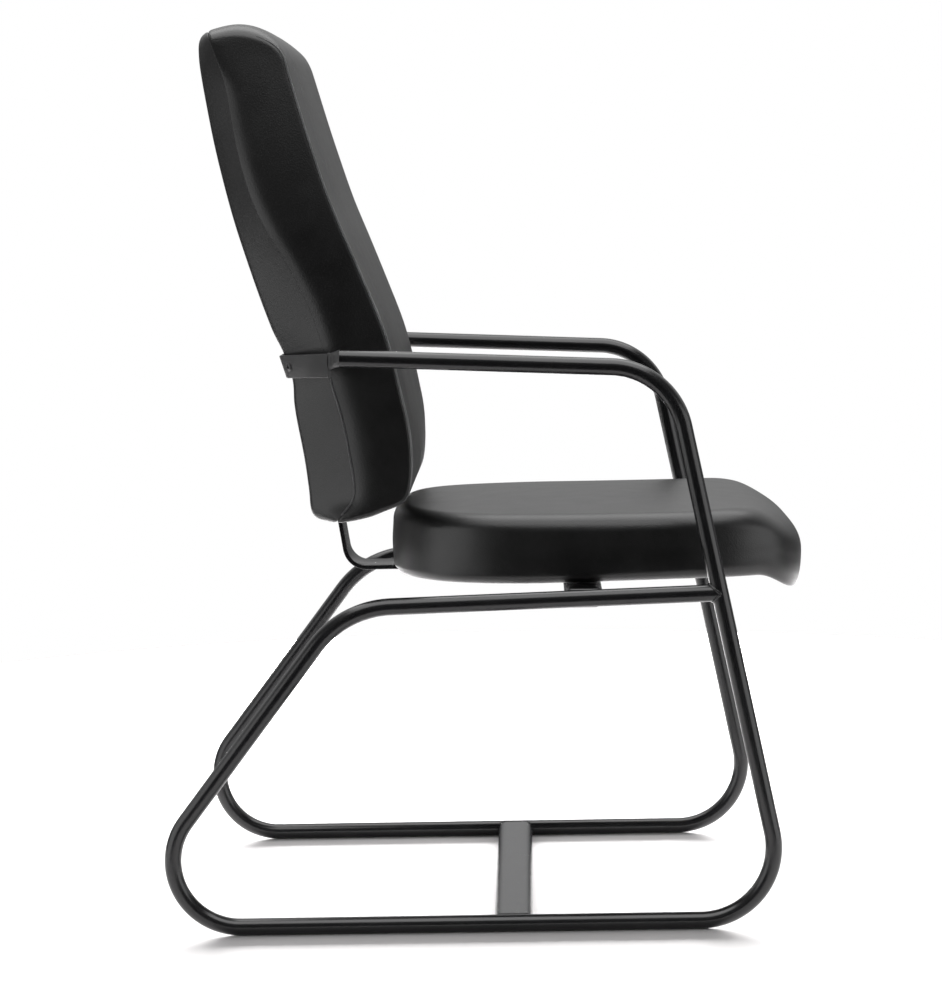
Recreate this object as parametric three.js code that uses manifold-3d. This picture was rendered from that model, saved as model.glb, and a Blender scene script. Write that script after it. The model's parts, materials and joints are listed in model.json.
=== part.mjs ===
// A sled base visitor chair: two bent tube side frames tied by two cross bars, an upholstered seat on a
// steel plate, and an upholstered back held by a flat steel blade and by a steel band behind it.
// Millimetres, +X to the front, +Y to the sitter's left, +Z up. The origin is on the floor under the
// middle of the chair. Places along X are first measured from the rear floor corner of the side frames.
import * as THREE from "three";
import { mergeVertices } from "three/addons/utils/BufferGeometryUtils.js";
import Module from "manifold-3d";

const wasm = await Module();
wasm.setup();

// Clearances and overruns
const fitGap = 0.3;
const cutOverrun = 60;

// Side frames: one round tube each, bent in one plane; angles in degrees
const tubeDiameter = 20;
const tubeWall = 1.5;
const tubeSides = 16;
const frameSpacing = 560;
const baseLength = 803;
const rearLegAngle = 37.4;
const frontLegAngle = 11.5;
const armFrontHeight = 657;
const armRise = 19;
const railFrontHeight = 396;
const railAngle = 1.5;
const armBendRadius = 88;
const frontBendRadius = 86;
const rearBendRadius = 78;
const railBendRadius = 116;
const bendStepAngle = 11;

// Cross bars: flat oval tube
const barWidth = 45;
const barHeight = 20;
const barWall = 1.5;
const barEndSteps = 6;
const barEndTrim = 3;
const floorBarX = 478;
const seatBarX = 567;

// Steel plate under the seat
const plateLength = 190;
const plateWidth = 200;
const plateThickness = 4.75;
const plateCornerRadius = 12;
const plateBoltInset = 22;

// Blade: flat steel from under the seat up behind the back
const bladeWidth = 76;
const bladeThickness = 5;
const bladePlateGap = 27;
const bladeFootLength = 166;
const bladeAngle = 8.9;
const bladeBendRadius = 27;
const bladeRise = 233;
const bladeFrontInsets = [60, 20];
const bladeTopInsets = [110, 67, 24];

// Seat: moulded board, dust cover and cushion
const seatRearOverhang = 234;
const seatLength = 510;
const seatWidth = 478;
const seatThickness = 79;
const seatSag = 3;
const seatCrown = 10;
const seatSideBulge = 3;
const seatRearPower = 3;
const seatFrontPower = 5;
const seatEdgeRadius = 11;
const seatFrontRadius = 60;
const seatUnderRadius = 16;
const lipDrop = 9;
const lipHollow = 4;
const lipHollowReach = 130;
const lipHollowPeak = 80;
const lipReach = 28;
const seatBoardThickness = 12;
const seatBoardInset = 26;
const seatBoardFrontInset = 95;
const dustCoverThickness = 1;
const dustCoverInset = 6;
const seatOutlineCount = 56;
const boardOutlineCount = 36;

// Back: heights and depths that the shares below are shares of
const backLift = 71;
const backHeight = 589;
const backForward = 90;
const backSweep = 241;
const backWidth = 450;
const backRearFlatWidth = 368;
const backRearPower = 1.4;
const backCrown = 5;
const backFrontEdgeRadius = 6;
const backTopCornerRadius = 13;
const backBottomCornerRadius = 5;
const backBoardThickness = 12;
const backBoardWidth = 370;
const backBoardSkin = 18;
const backBoardFootGap = 26;
const backBoardHeadGap = 44;

// Outlines of the back seen from the side, as [share of height, share of sweep behind the front]
const backRearShares = [
  [0.045, 0.505], [0.125, 0.528], [0.206, 0.562], [0.287, 0.592], [0.369, 0.657], [0.449, 0.726],
  [0.53, 0.79], [0.61, 0.848], [0.69, 0.897], [0.77, 0.94], [0.85, 0.974], [0.93, 0.998], [1, 1],
];
const backFrontShares = [
  [0.045, 0.028], [0.068, 0.011], [0.1, 0], [0.154, 0], [0.198, 0.012], [0.242, 0.035], [0.307, 0.07],
  [0.378, 0.114], [0.468, 0.191], [0.558, 0.274], [0.648, 0.361], [0.737, 0.432], [0.826, 0.498],
  [0.915, 0.558], [1, 0.61],
];
const backSeamShares = [
  [0, 0.385], [0.016, 0.356], [0.045, 0.3], [0.08, 0.291], [0.128, 0.306], [0.209, 0.341],
  [0.279, 0.388], [0.359, 0.432], [0.409, 0.468], [0.469, 0.53], [0.529, 0.605], [0.589, 0.69],
  [0.649, 0.755], [0.708, 0.8], [0.767, 0.832], [0.826, 0.855], [0.886, 0.882], [0.945, 0.93],
  [1, 0.975],
];
// The closed ends, as [share of the way from rear to front, share of the end's rise or drop]
const backShoulderShare = 0.93;
const backHeadShares = [
  [0.01, 0.5], [0.08, 0.74], [0.27, 0.92], [0.46, 1], [0.64, 0.93], [0.8, 0.73], [0.93, 0.4],
];
const backWaistShare = 0.055;
const backFootShares = [
  [0.955, 0.25], [0.875, 0.42], [0.765, 0.57], [0.59, 0.81], [0.3, 1], [0.15, 0.96], [0.07, 0.83],
  [0.03, 0.64], [0.008, 0.32],
];
// Share of the height up to which the front is flat across, and from which it is fully crowned
const backCrownStartShare = 0.08;
const backCrownFullShare = 0.3;
// Width of the back as [share of height, share of full width]
const backTaperShares = [[0, 1], [0.56, 1], [0.7, 0.975], [0.84, 0.93], [0.94, 0.892], [1, 0.88]];
// Places across half the back: shares of its flat rear, of its turn to the seam and of its front edge
const backFlatShares = [0.5, 1];
const backTurnShares = [0.32, 0.58];
const backEdgeShares = [0, 0.6, 0.92, 1];
const backRowShares = [0.125, 0.2, 0.25, 0.39, 0.45, 0.51, 0.57, 0.64, 0.71, 0.78, 0.85];

// Band behind the back, with its ends turned out to the arms
const bandHeight = 28;
const bandThickness = 5;
const bandArmDrop = 13;
const bandEndRise = 4;
const bandSideGap = 4;
const bandBendReach = 6;
const bandEndReach = 58;
const bandEndInset = 14;
const bandStandoff = 1.2;
const lugLength = 13;
const lugThickness = 5;
const lugHeight = 19;
const bandScrewAlong = 14;
const bandBoltSpacing = 220;

// Fasteners
const boltDiameter = 8;
const boltHeadWidth = 13;
const boltHeadHeight = 5.3;
const boltSides = 12;
const nutBarrelDiameter = 11;
const nutFlangeDiameter = 22;
const nutFlangeThickness = 1.5;
const nutBarrelLength = 9;
const panHeadDiameter = 10;
const panHeadHeight = 3.2;
const panScrewDiameter = 4;
const panScrewLength = 24;
const bandBoltDiameter = 6;
const bandBoltHeadDiameter = 13;
const headPocketDepth = 6.3;

// Finishes
const paint = new THREE.MeshStandardMaterial({ color: 0x1b1b1d, roughness: 0.3, metalness: 0.2 });
const steel = new THREE.MeshStandardMaterial({ color: 0x8d8f92, roughness: 0.35, metalness: 1 });
const leather = new THREE.MeshStandardMaterial({ color: 0x19191b, roughness: 0.5, metalness: 0 });
const plywood = new THREE.MeshStandardMaterial({ color: 0xb58d5c, roughness: 0.75, metalness: 0 });
const cloth = new THREE.MeshStandardMaterial({ color: 0x121213, roughness: 0.95, metalness: 0 });

const tubeRadius = tubeDiameter / 2;
const boltRadius = boltDiameter / 2;
const up = new THREE.Vector3(0, 0, 1);

const sides = [["right", -1], ["left", 1]];

// Small helpers
const radians = THREE.MathUtils.degToRad;
const slopeOf = (degrees) => Math.tan(radians(degrees));
const inPlane = (point, y) => new THREE.Vector3(point.x, y, point.y);

// A share table read as a smooth curve: the value at one share of the first column.
function curveValue(table, at) {
  const last = table.length - 1;
  const found = table.findIndex((row) => row[0] > at);
  const i = THREE.MathUtils.clamp(found === -1 ? last - 1 : found - 1, 0, last - 1);
  const slopeAt = (k) => {
    const low = table[Math.max(k - 1, 0)];
    const high = table[Math.min(k + 1, last)];
    return (high[1] - low[1]) / (high[0] - low[0]);
  };
  const span = table[i + 1][0] - table[i][0];
  const t = THREE.MathUtils.clamp((at - table[i][0]) / span, 0, 1);
  const rest = 1 - t;
  return (
    table[i][1] * (1 + 2 * t) * rest * rest +
    table[i + 1][1] * t * t * (1 + 2 * rest) +
    slopeAt(i) * span * t * rest * rest -
    slopeAt(i + 1) * span * t * t * rest
  );
}

// Closed geometry with shared vertices, no collapsed triangles and its faces pointing out.
function closed(geometry) {
  const bare = new THREE.BufferGeometry().setAttribute("position", geometry.getAttribute("position"));
  if (geometry.index) bare.setIndex(geometry.index);
  const merged = mergeVertices(bare);
  const index = merged.index.array;
  const position = merged.getAttribute("position");
  const corner = [new THREE.Vector3(), new THREE.Vector3(), new THREE.Vector3()];
  const kept = [];
  let volume = 0;
  for (let i = 0; i < index.length; i += 3) {
    const [a, b, c] = index.subarray(i, i + 3);
    if (a === b || b === c || c === a) continue;
    kept.push([a, b, c]);
    [a, b, c].forEach((vertex, k) => corner[k].fromBufferAttribute(position, vertex));
    volume += corner[0].dot(corner[1].cross(corner[2]));
  }
  if (volume < 0) kept.forEach((face) => face.reverse());
  return merged.setIndex(kept.flat());
}

function toSolid(geometry) {
  const ready = closed(geometry);
  return new wasm.Manifold(
    new wasm.Mesh({
      numProp: 3,
      vertProperties: new Float32Array(ready.getAttribute("position").array),
      triVerts: new Uint32Array(ready.index.array),
    }),
  );
}

function toGeometry(solid) {
  const made = solid.getMesh();
  const geometry = new THREE.BufferGeometry();
  geometry.setAttribute("position", new THREE.BufferAttribute(new Float32Array(made.vertProperties), 3));
  geometry.setIndex(new THREE.BufferAttribute(new Uint32Array(made.triVerts), 1));
  geometry.computeVertexNormals();
  return geometry;
}

function cut(solid, cutters) {
  return cutters.reduce((rest, cutter) => rest.subtract(cutter), solid);
}

// Triangles that close a flat or nearly flat ring, counter-clockwise about the ring's own normal.
function capFaces(ring) {
  const normal = new THREE.Vector3();
  ring.forEach((point, i) => {
    const next = ring[(i + 1) % ring.length];
    normal.x += (point.y - next.y) * (point.z + next.z);
    normal.y += (point.z - next.z) * (point.x + next.x);
    normal.z += (point.x - next.x) * (point.y + next.y);
  });
  normal.normalize();
  const across = new THREE.Vector3().subVectors(ring[1], ring[0]);
  across.addScaledVector(normal, -across.dot(normal)).normalize();
  const over = new THREE.Vector3().crossVectors(normal, across);
  const flat = ring.map((point) => new THREE.Vector2(point.dot(across), point.dot(over)));
  return THREE.ShapeUtils.triangulateShape(flat, []).map((face) => {
    const [a, b, c] = face.map((i) => flat[i]);
    const turn = (b.x - a.x) * (c.y - a.y) - (b.y - a.y) * (c.x - a.x);
    return turn < 0 ? [face[0], face[2], face[1]] : face;
  });
}

// Triangles that close a ring in rungs: its first point is one end, and the rest face each other in pairs.
function rungFaces(ring) {
  const count = ring.length;
  const faces = [];
  for (let k = 0; k < count / 2; k++) {
    const far = count - k - 1;
    faces.push([k, k + 1, far], [k, far, (far + 1) % count]);
  }
  return faces;
}

// A closed solid through rings of points, all with the same count.
function loft(rings, endFaces = capFaces) {
  const count = rings[0].length;
  const faces = endFaces(rings[0]).map(([a, b, c]) => [a, c, b]);
  rings.slice(1).forEach((ring, k) => {
    ring.forEach((point, i) => {
      const a = k * count + i;
      const b = k * count + ((i + 1) % count);
      faces.push([a, b, b + count], [a, b + count, a + count]);
    });
  });
  const start = (rings.length - 1) * count;
  endFaces(rings[rings.length - 1]).forEach((face) => faces.push(face.map((i) => start + i)));
  const geometry = new THREE.BufferGeometry().setFromPoints(rings.flat());
  return geometry.setIndex(faces.flat());
}

// A solid with one outline in the side view, straight across from -halfWidth to +halfWidth.
function sidePrism(outline, halfWidth) {
  const ring = (y) => outline.map((point) => inPlane(point, y));
  return toSolid(loft([ring(-halfWidth), ring(halfWidth)]));
}

// A solid with one outline in plan, straight up between two heights.
function planPrism(outline, low, high) {
  const ring = (z) => outline.map((point) => new THREE.Vector3(point.x, point.y, z));
  return toSolid(loft([ring(low), ring(high)]));
}

// Path of straight runs joined by round bends, as places with the direction of travel.
function bentPath(corners, radii) {
  const stations = [];
  const add = (at, along) => stations.push({ at, along: along.clone() });
  corners.forEach((corner, i) => {
    const into = i > 0 ? corner.clone().sub(corners[i - 1]).normalize() : null;
    const out = i < corners.length - 1 ? corners[i + 1].clone().sub(corner).normalize() : null;
    if (!into || !out) {
      add(corner.clone(), into || out);
      return;
    }
    const side = Math.sign(into.cross(out));
    const turn = Math.acos(into.dot(out));
    const reach = radii[i - 1] * Math.tan(turn / 2);
    const start = corner.clone().addScaledVector(into, -reach);
    const inward = new THREE.Vector2(-into.y, into.x).multiplyScalar(side);
    const centre = start.clone().addScaledVector(inward, radii[i - 1]);
    const steps = Math.ceil(turn / radians(bendStepAngle));
    for (let k = 0; k <= steps; k++) {
      const angle = (side * turn * k) / steps;
      const along = into.clone().rotateAround(new THREE.Vector2(), angle);
      add(start.clone().rotateAround(centre, angle), along);
    }
  });
  return stations;
}

// A round section as a regular polygon whose flats lie at the radius.
function roundSection(radius, sides) {
  const points = [];
  for (let k = 0; k < sides; k++) {
    const angle = ((k + 1 / 2) / sides) * 2 * Math.PI;
    const point = new THREE.Vector2(Math.cos(angle), Math.sin(angle));
    points.push(point.multiplyScalar(radius / Math.cos(Math.PI / sides)));
  }
  return points;
}

function rectangleSection(thickness, width) {
  const corners = [[1, 1], [-1, 1], [-1, -1], [1, -1]];
  return corners.map(([u, v]) => new THREE.Vector2((u * thickness) / 2, (v * width) / 2));
}

// A section swept along a path that lies in the side view; its first axis lies in that view.
function sweep(stations, section, y = 0) {
  return toSolid(
    loft(
      stations.map(({ at, along }) =>
        section.map((point) =>
          inPlane(new THREE.Vector2(at.x - along.y * point.x, at.y + along.x * point.x), y + point.y),
        ),
      ),
    ),
  );
}

// A cylinder that stands on its own origin along +Z.
function rod(radius, length, sides = boltSides) {
  const cylinder = new THREE.CylinderGeometry(radius, radius, length, sides);
  return toSolid(cylinder.rotateX(Math.PI / 2).translate(0, 0, length / 2));
}

// A turned solid about +Z from a profile of [radius, height] pairs.
function turned(profile) {
  const points = profile.map(([radius, height]) => new THREE.Vector2(radius, height));
  return toSolid(new THREE.LatheGeometry(points, boltSides).rotateX(Math.PI / 2));
}

// Side frame places, in the plane of one frame
const frontLegX = (height) => baseLength - slopeOf(frontLegAngle) * (height - tubeRadius);
const railFront = new THREE.Vector2(frontLegX(railFrontHeight), railFrontHeight);
const railHeightAt = (x) => railFrontHeight - slopeOf(railAngle) * (railFront.x - x);
const rearCorner = new THREE.Vector2(0, tubeRadius);
const frontCorner = new THREE.Vector2(baseLength, tubeRadius);
const armCorner = new THREE.Vector2(frontLegX(armFrontHeight), armFrontHeight);
const railCornerX =
  (slopeOf(rearLegAngle) * (railHeightAt(0) - tubeRadius)) / (1 - slopeOf(rearLegAngle) * slopeOf(railAngle));
const railCorner = new THREE.Vector2(railCornerX, railHeightAt(railCornerX));

// One side frame: a hollow tube, open at the arm's rear end, with the rail's front end on the leg.
function sideFrame(y) {
  const outside = roundSection(tubeRadius, tubeSides);
  const inside = roundSection(tubeRadius - tubeWall, tubeSides);
  const bends = framePath.slice(0, -1);
  const rail = framePath.slice(-2);
  const openEnd = framePath[0];
  const beyond = openEnd.at.clone().addScaledVector(openEnd.along, -tubeDiameter);
  const mouth = { at: beyond, along: openEnd.along };
  const railStop = rail[1].at.clone().addScaledVector(rail[1].along, -tubeRadius);
  const body = sweep(bends, outside, y).add(sweep(rail, outside, y));
  const bore = sweep([mouth, ...bends], inside, y);
  const railBore = sweep([rail[0], { at: railStop, along: rail[1].along }], inside, y);
  return cut(body, [bore.add(railBore)]);
}

// Outline of a flat oval, about its own middle.
function ovalOutline(width, height) {
  const points = [];
  [1, -1].forEach((end) => {
    for (let k = 0; k <= barEndSteps; k++) {
      const angle = end * Math.PI * (k / barEndSteps - 1 / 2);
      const middle = (end * (width - height)) / 2;
      const round = new THREE.Vector2(Math.cos(angle), Math.sin(angle)).multiplyScalar(height / 2);
      points.push(new THREE.Vector2(middle + end * round.x, round.y));
    }
  });
  return points;
}

// A cross bar: hollow flat oval tube whose ends are shaped to the two frame tubes.
function crossBar(x, height, runs) {
  const place = (outline) => outline.map((point) => point.clone().add(new THREE.Vector2(x, height)));
  const halfLength = frameSpacing / 2 - barEndTrim;
  const body = sidePrism(place(ovalOutline(barWidth, barHeight)), halfLength);
  const bore = sidePrism(
    place(ovalOutline(barWidth - 2 * barWall, barHeight - 2 * barWall)),
    halfLength + cutOverrun,
  );
  const seats = [-1, 1].map((side) =>
    sweep(runs, roundSection(tubeRadius + fitGap, tubeSides), (side * frameSpacing) / 2),
  );
  return cut(body, [bore, ...seats]);
}

const runOf = (from, to) => {
  const along = to.clone().sub(from).normalize();
  return [{ at: from, along }, { at: to, along }];
};
const seatBarHeight = railHeightAt(seatBarX);

// Heights that stack up from the seat cross bar
const plateLow = seatBarHeight + barHeight / 2 + fitGap;
const plateHigh = plateLow + plateThickness;
const coverLow = plateHigh + fitGap;
const boardLow = coverLow + dustCoverThickness + fitGap;
const boardHigh = boardLow + seatBoardThickness;
const seatLow = coverLow;
const bladeMiddle = plateHigh - bladeThickness / 2;
const bladeFrontX = seatBarX - plateLength / 2 - bladePlateGap;
const bladeHeelX = bladeFrontX - bladeFootLength;
const bladeTopHeight = plateHigh + bladeRise;
const bladeBackBoltHeights = bladeTopInsets.map((inset) => bladeTopHeight - inset);

// Bolts through the plate or blade, the dust cover and the seat board, into a flanged nut
const seatBoltLength = boardHigh - plateLow - fitGap;
const plateBoltPlaces = [-1, 1].flatMap((front) =>
  [-1, 1].map((side) => [
    seatBarX + front * (plateLength / 2 - plateBoltInset),
    side * (plateWidth / 2 - plateBoltInset),
    plateLow,
  ]),
);
const bladeSeatPlaces = bladeFrontInsets.map((inset) => [bladeFrontX - inset, 0, plateHigh - bladeThickness]);
const placedAt = (solid, [x, y, z]) => solid.translate([x, y, z]);

function hexBolt(length) {
  const head = rod(boltHeadWidth / Math.sqrt(3), boltHeadHeight, 6);
  return rod(boltRadius, length + boltHeadHeight / 2)
    .translate([0, 0, -boltHeadHeight / 2])
    .add(head.translate([0, 0, -boltHeadHeight]));
}

function flangedNut(forDiameter) {
  const bore = forDiameter / 2 + fitGap;
  return turned([
    [bore, -nutBarrelLength],
    [nutBarrelDiameter / 2, -nutBarrelLength],
    [nutBarrelDiameter / 2, -nutFlangeThickness],
    [nutFlangeDiameter / 2, -nutFlangeThickness],
    [nutFlangeDiameter / 2, 0],
    [bore, 0],
    [bore, -nutBarrelLength],
  ]);
}

// Room for a bolt and its nut in a board whose far face lies at the given height.
function nutSeat(length) {
  const flangeDepth = nutFlangeThickness + fitGap;
  const steps = [[nutBarrelDiameter, length], [nutFlangeDiameter, flangeDepth]];
  const [barrel, flange] = steps.map(([diameter, depth]) =>
    rod(diameter / 2 + fitGap, depth + cutOverrun).translate([0, 0, -depth]),
  );
  return barrel.add(flange);
}

const boltHole = () => rod(boltRadius + fitGap, 2 * cutOverrun).translate([0, 0, -cutOverrun]);

function roundedRectangle(length, width, radius, middleX) {
  const shape = new THREE.Shape();
  const right = length / 2 - radius;
  const top = width / 2 - radius;
  const quarter = Math.PI / 2;
  shape.absarc(middleX + right, top, radius, 0, quarter);
  shape.absarc(middleX - right, top, radius, quarter, 2 * quarter);
  shape.absarc(middleX - right, -top, radius, 2 * quarter, 3 * quarter);
  shape.absarc(middleX + right, -top, radius, 3 * quarter, 4 * quarter);
  return shape.getPoints(3).slice(0, -1);
}

function mountPlate() {
  const outline = roundedRectangle(plateLength, plateWidth, plateCornerRadius, seatBarX);
  return cut(planPrism(outline, plateLow, plateHigh), [
    ...plateBoltPlaces.map((place) => placedAt(boltHole(), place)),
    bladeSolid(fitGap, fitGap),
  ]);
}

// Blade: level under the seat, one bend, then straight up behind the back board
const bladeTopX = bladeHeelX - slopeOf(bladeAngle) * (bladeTopHeight - bladeMiddle);
const bladeCorners = [
  new THREE.Vector2(bladeFrontX, bladeMiddle),
  new THREE.Vector2(bladeHeelX, bladeMiddle),
  new THREE.Vector2(bladeTopX, bladeTopHeight),
];
const bladeUpright = new THREE.Vector2(-Math.sin(radians(bladeAngle)), Math.cos(radians(bladeAngle)));
const bladeFacing = new THREE.Vector2(bladeUpright.y, -bladeUpright.x);
const bladeXAt = (height) => bladeHeelX - slopeOf(bladeAngle) * (height - bladeMiddle);

function bladeSolid(grow, growSides) {
  const stations = bentPath(bladeCorners, [bladeBendRadius]);
  const last = stations[stations.length - 1];
  last.at = last.at.clone().addScaledVector(last.along, grow);
  stations[0].at = stations[0].at.clone().addScaledVector(stations[0].along, -grow);
  return sweep(stations, rectangleSection(bladeThickness + 2 * grow, bladeWidth + 2 * growSides));
}

// Turns +Z to the way the back faces, and places it at a height on the blade's rear face.
function backPlacement(height, offset) {
  const behind = bladeThickness / 2 - offset;
  const at = new THREE.Vector2(bladeXAt(height), height).addScaledVector(bladeFacing, -behind);
  const matrix = new THREE.Matrix4().makeRotationY(radians(bladeAngle + 90) - 2 * radians(bladeAngle));
  return matrix.setPosition(at.x, 0, at.y);
}
const onBack = (solid, height, offset = 0) => solid.transform(backPlacement(height, offset).elements);
const backBoltLength = bladeThickness + fitGap + backBoardThickness - fitGap;
const backBoardFaceOffset = bladeThickness + fitGap + backBoardThickness;

function blade() {
  return cut(bladeSolid(0, 0), [
    ...bladeSeatPlaces.map((place) => placedAt(boltHole(), place)),
    ...bladeBackBoltHeights.map((height) => onBack(boltHole(), height)),
  ]);
}

// Plan outline with straight flanks and rounded ends, from a rear and a front superellipse.
function planOutline({ rear, front, width, rearPower, frontPower, count }) {
  const middle = (rear + front) / 2;
  const fine = 24 * count;
  const raw = [];
  for (let k = 0; k < fine; k++) {
    const angle = (k / fine) * 2 * Math.PI;
    const [c, s] = [Math.cos(angle), Math.sin(angle)];
    const power = 2 / (c > 0 ? frontPower : rearPower);
    const x = middle + (Math.sign(c) * Math.abs(c) ** power * (front - rear)) / 2;
    raw.push(new THREE.Vector2(x, (Math.sign(s) * Math.abs(s) ** power * width) / 2));
  }
  const lengths = [0];
  raw.forEach((point, i) => lengths.push(lengths[i] + point.distanceTo(raw[(i + 1) % fine])));
  const points = [];
  let i = 0;
  for (let k = 0; k < count; k++) {
    const target = (k / count) * lengths[fine];
    while (lengths[i + 1] < target) i++;
    const t = (target - lengths[i]) / (lengths[i + 1] - lengths[i]);
    points.push(raw[i].clone().lerp(raw[(i + 1) % fine], t));
  }
  return points;
}

function outwardNormals(outline) {
  return outline.map((point, i) => {
    const before = outline[(i + outline.length - 1) % outline.length];
    const after = outline[(i + 1) % outline.length];
    const along = after.clone().sub(before).normalize();
    return new THREE.Vector2(along.y, -along.x);
  });
}

// Seat cushion form
const seatRearX = seatBarX - seatRearOverhang;
const seatFrontX = seatRearX + seatLength;
const seatMiddleX = (seatRearX + seatFrontX) / 2;
const seatHigh = seatLow + seatThickness;
const seatTopAt = (x) => seatHigh - seatSag * (1 - ((x - seatMiddleX) / (seatLength / 2)) ** 2);

function seatUndersideAt(x) {
  const toFront = seatFrontX - x;
  const rise = THREE.MathUtils.smoothstep(lipHollowReach - toFront, 0, lipHollowReach - lipHollowPeak);
  const fall = THREE.MathUtils.smoothstep(lipHollowPeak - toFront, 0, lipHollowPeak - lipReach);
  return seatLow + lipHollow * rise - (lipHollow + lipDrop) * fall;
}

const seatOutline = planOutline({
  rear: seatRearX + seatSideBulge, front: seatFrontX - seatSideBulge, width: seatWidth - 2 * seatSideBulge,
  rearPower: seatRearPower, frontPower: seatFrontPower, count: seatOutlineCount,
});
const seatNormals = outwardNormals(seatOutline);

function seatForm() {
  const bottomRing = (inset, rise) =>
    seatOutline.map((point, i) => {
      const at = point.clone().addScaledVector(seatNormals[i], -inset);
      return new THREE.Vector3(at.x, at.y, seatUndersideAt(at.x) + rise);
    });
  const edgeRadii = seatNormals.map(
    (normal) => seatEdgeRadius + (seatFrontRadius - seatEdgeRadius) * Math.max(normal.x, 0) ** (3 / 2),
  );
  const edgeRing = (angle) =>
    seatOutline.map((point, i) => {
      const radius = edgeRadii[i];
      const at = point.clone().addScaledVector(seatNormals[i], -radius * (1 - Math.cos(angle)));
      return new THREE.Vector3(at.x, at.y, seatTopAt(at.x) - radius * (1 - Math.sin(angle)));
    });
  const shoulder = edgeRing(Math.PI / 2);
  const crownRing = (share) =>
    shoulder.map((point) => {
      const middle = new THREE.Vector3(seatMiddleX, 0, 0);
      const at = point.clone().lerp(middle, share);
      at.z = seatTopAt(at.x) + seatCrown * (1 - (1 - share) ** 2);
      return at;
    });
  const underRing = bottomRing(0, seatUnderRadius);
  const flankRing = underRing.map((point, i) => {
    const top = seatTopAt(point.x) - edgeRadii[i];
    const bulged = seatOutline[i].clone().addScaledVector(seatNormals[i], seatSideBulge);
    return new THREE.Vector3(bulged.x, bulged.y, (point.z + top) / 2);
  });
  const softened = 1 - Math.SQRT1_2;
  return toSolid(
    loft([
      bottomRing(seatBoardInset / 2 + seatUnderRadius, 0),
      bottomRing(seatUnderRadius, 0),
      bottomRing(seatUnderRadius * softened, seatUnderRadius * softened),
      underRing,
      flankRing,
      ...[0, 1, 2, 3].map((k) => edgeRing((k / 3) * (Math.PI / 2))).slice(0, -1),
      ...[0, 0.25, 0.5, 0.75].map(crownRing),
    ]),
  );
}

const seatBoardOutline = planOutline({
  rear: seatRearX + seatBoardInset, front: seatFrontX - seatBoardFrontInset,
  width: seatWidth - 2 * seatBoardInset,
  rearPower: seatRearPower, frontPower: seatFrontPower, count: boardOutlineCount,
});
const grown = (outline, distance) => {
  const normals = outwardNormals(outline);
  return outline.map((point, i) => point.clone().addScaledVector(normals[i], distance));
};

function seatCushion() {
  const pocket = planPrism(grown(seatBoardOutline, fitGap), seatLow - cutOverrun, boardHigh + fitGap);
  return cut(seatForm(), [pocket]);
}

function seatBoard() {
  const places = [...plateBoltPlaces, ...bladeSeatPlaces];
  return cut(planPrism(seatBoardOutline, boardLow, boardHigh), [
    ...places.map(([x, y]) => placedAt(nutSeat(seatBoardThickness + fitGap), [x, y, boardHigh])),
  ]);
}

function dustCover() {
  const places = [...plateBoltPlaces, ...bladeSeatPlaces];
  return cut(planPrism(grown(seatBoardOutline, -dustCoverInset), coverLow, coverLow + dustCoverThickness), [
    ...places.map((place) => placedAt(boltHole(), place)),
  ]);
}

// Back form, from its side outlines
const backBaseHeight = plateHigh + backLift;
const backFrontX = bladeHeelX + backForward;
const backX = (table, share) => backFrontX - backSweep * curveValue(table, share);
const backZ = (share) => backBaseHeight + backHeight * share;
const shareAt = (height) => (height - backBaseHeight) / backHeight;
const rearXAt = (height) => backX(backRearShares, shareAt(height));
const seamXAt = (height) => backX(backSeamShares, shareAt(height));
const taperAt = (height) => curveValue(backTaperShares, shareAt(height));
const bandMiddleHeight = armFrontHeight + armRise - bandArmDrop;
const bandLow = bandMiddleHeight - bandHeight / 2;
const bandHigh = bandMiddleHeight + bandHeight / 2;
const backRows = [...backRowShares, shareAt(bandLow), shareAt(bandHigh)].sort((a, b) => a - b);

// The back's outline in the side view at one place across its width, from the middle of its foot round.
function backRing(y) {
  const halfWidth = backWidth / 2;
  const reach = Math.abs(y);
  const rearFlat = backRearFlatWidth / 2;
  const turned = THREE.MathUtils.clamp((reach - rearFlat) / (halfWidth - rearFlat), 0, 1) ** backRearPower;
  const rounding = (radius) => {
    const into = Math.max(reach - (halfWidth - radius), 0);
    return radius - Math.sqrt(Math.max(radius * radius - into * into, 0));
  };
  const crown = backCrown * (1 - (reach / halfWidth) ** 2);
  const frontInset = rounding(backFrontEdgeRadius);
  const crownAt = (share) =>
    crown * THREE.MathUtils.smoothstep(share, backCrownStartShare, backCrownFullShare);
  const frontX = (share) => backX(backFrontShares, share) + crownAt(share) - frontInset;
  const end = (share, rise, endShares) => {
    const [from, to] = [backX(backRearShares, share), frontX(share)];
    return endShares.map(([across, part]) => {
      return new THREE.Vector2(THREE.MathUtils.lerp(from, to, across), backZ(share) + rise * part);
    });
  };
  const headRise = backHeight * (1 - backShoulderShare) - rounding(backTopCornerRadius);
  const footDrop = rounding(backBottomCornerRadius) - backHeight * backWaistShare;
  const rows = [backWaistShare, ...backRows, backShoulderShare];
  const foot = end(backWaistShare, footDrop, backFootShares);
  const footMiddle = (foot.length - 1) / 2;
  const outline = [
    ...foot.slice(footMiddle),
    ...rows.map((share) => new THREE.Vector2(backX(backRearShares, share), backZ(share))),
    ...end(backShoulderShare, headRise, backHeadShares),
    ...rows.map((share) => new THREE.Vector2(frontX(share), backZ(share))).reverse(),
    ...foot.slice(0, footMiddle),
  ];
  outline.forEach((point) => {
    const behind = Math.max(seamXAt(point.y) - point.x, 0);
    point.x += behind * turned;
  });
  return outline.map((point) => inPlane(point, y * taperAt(point.y)));
}

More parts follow.
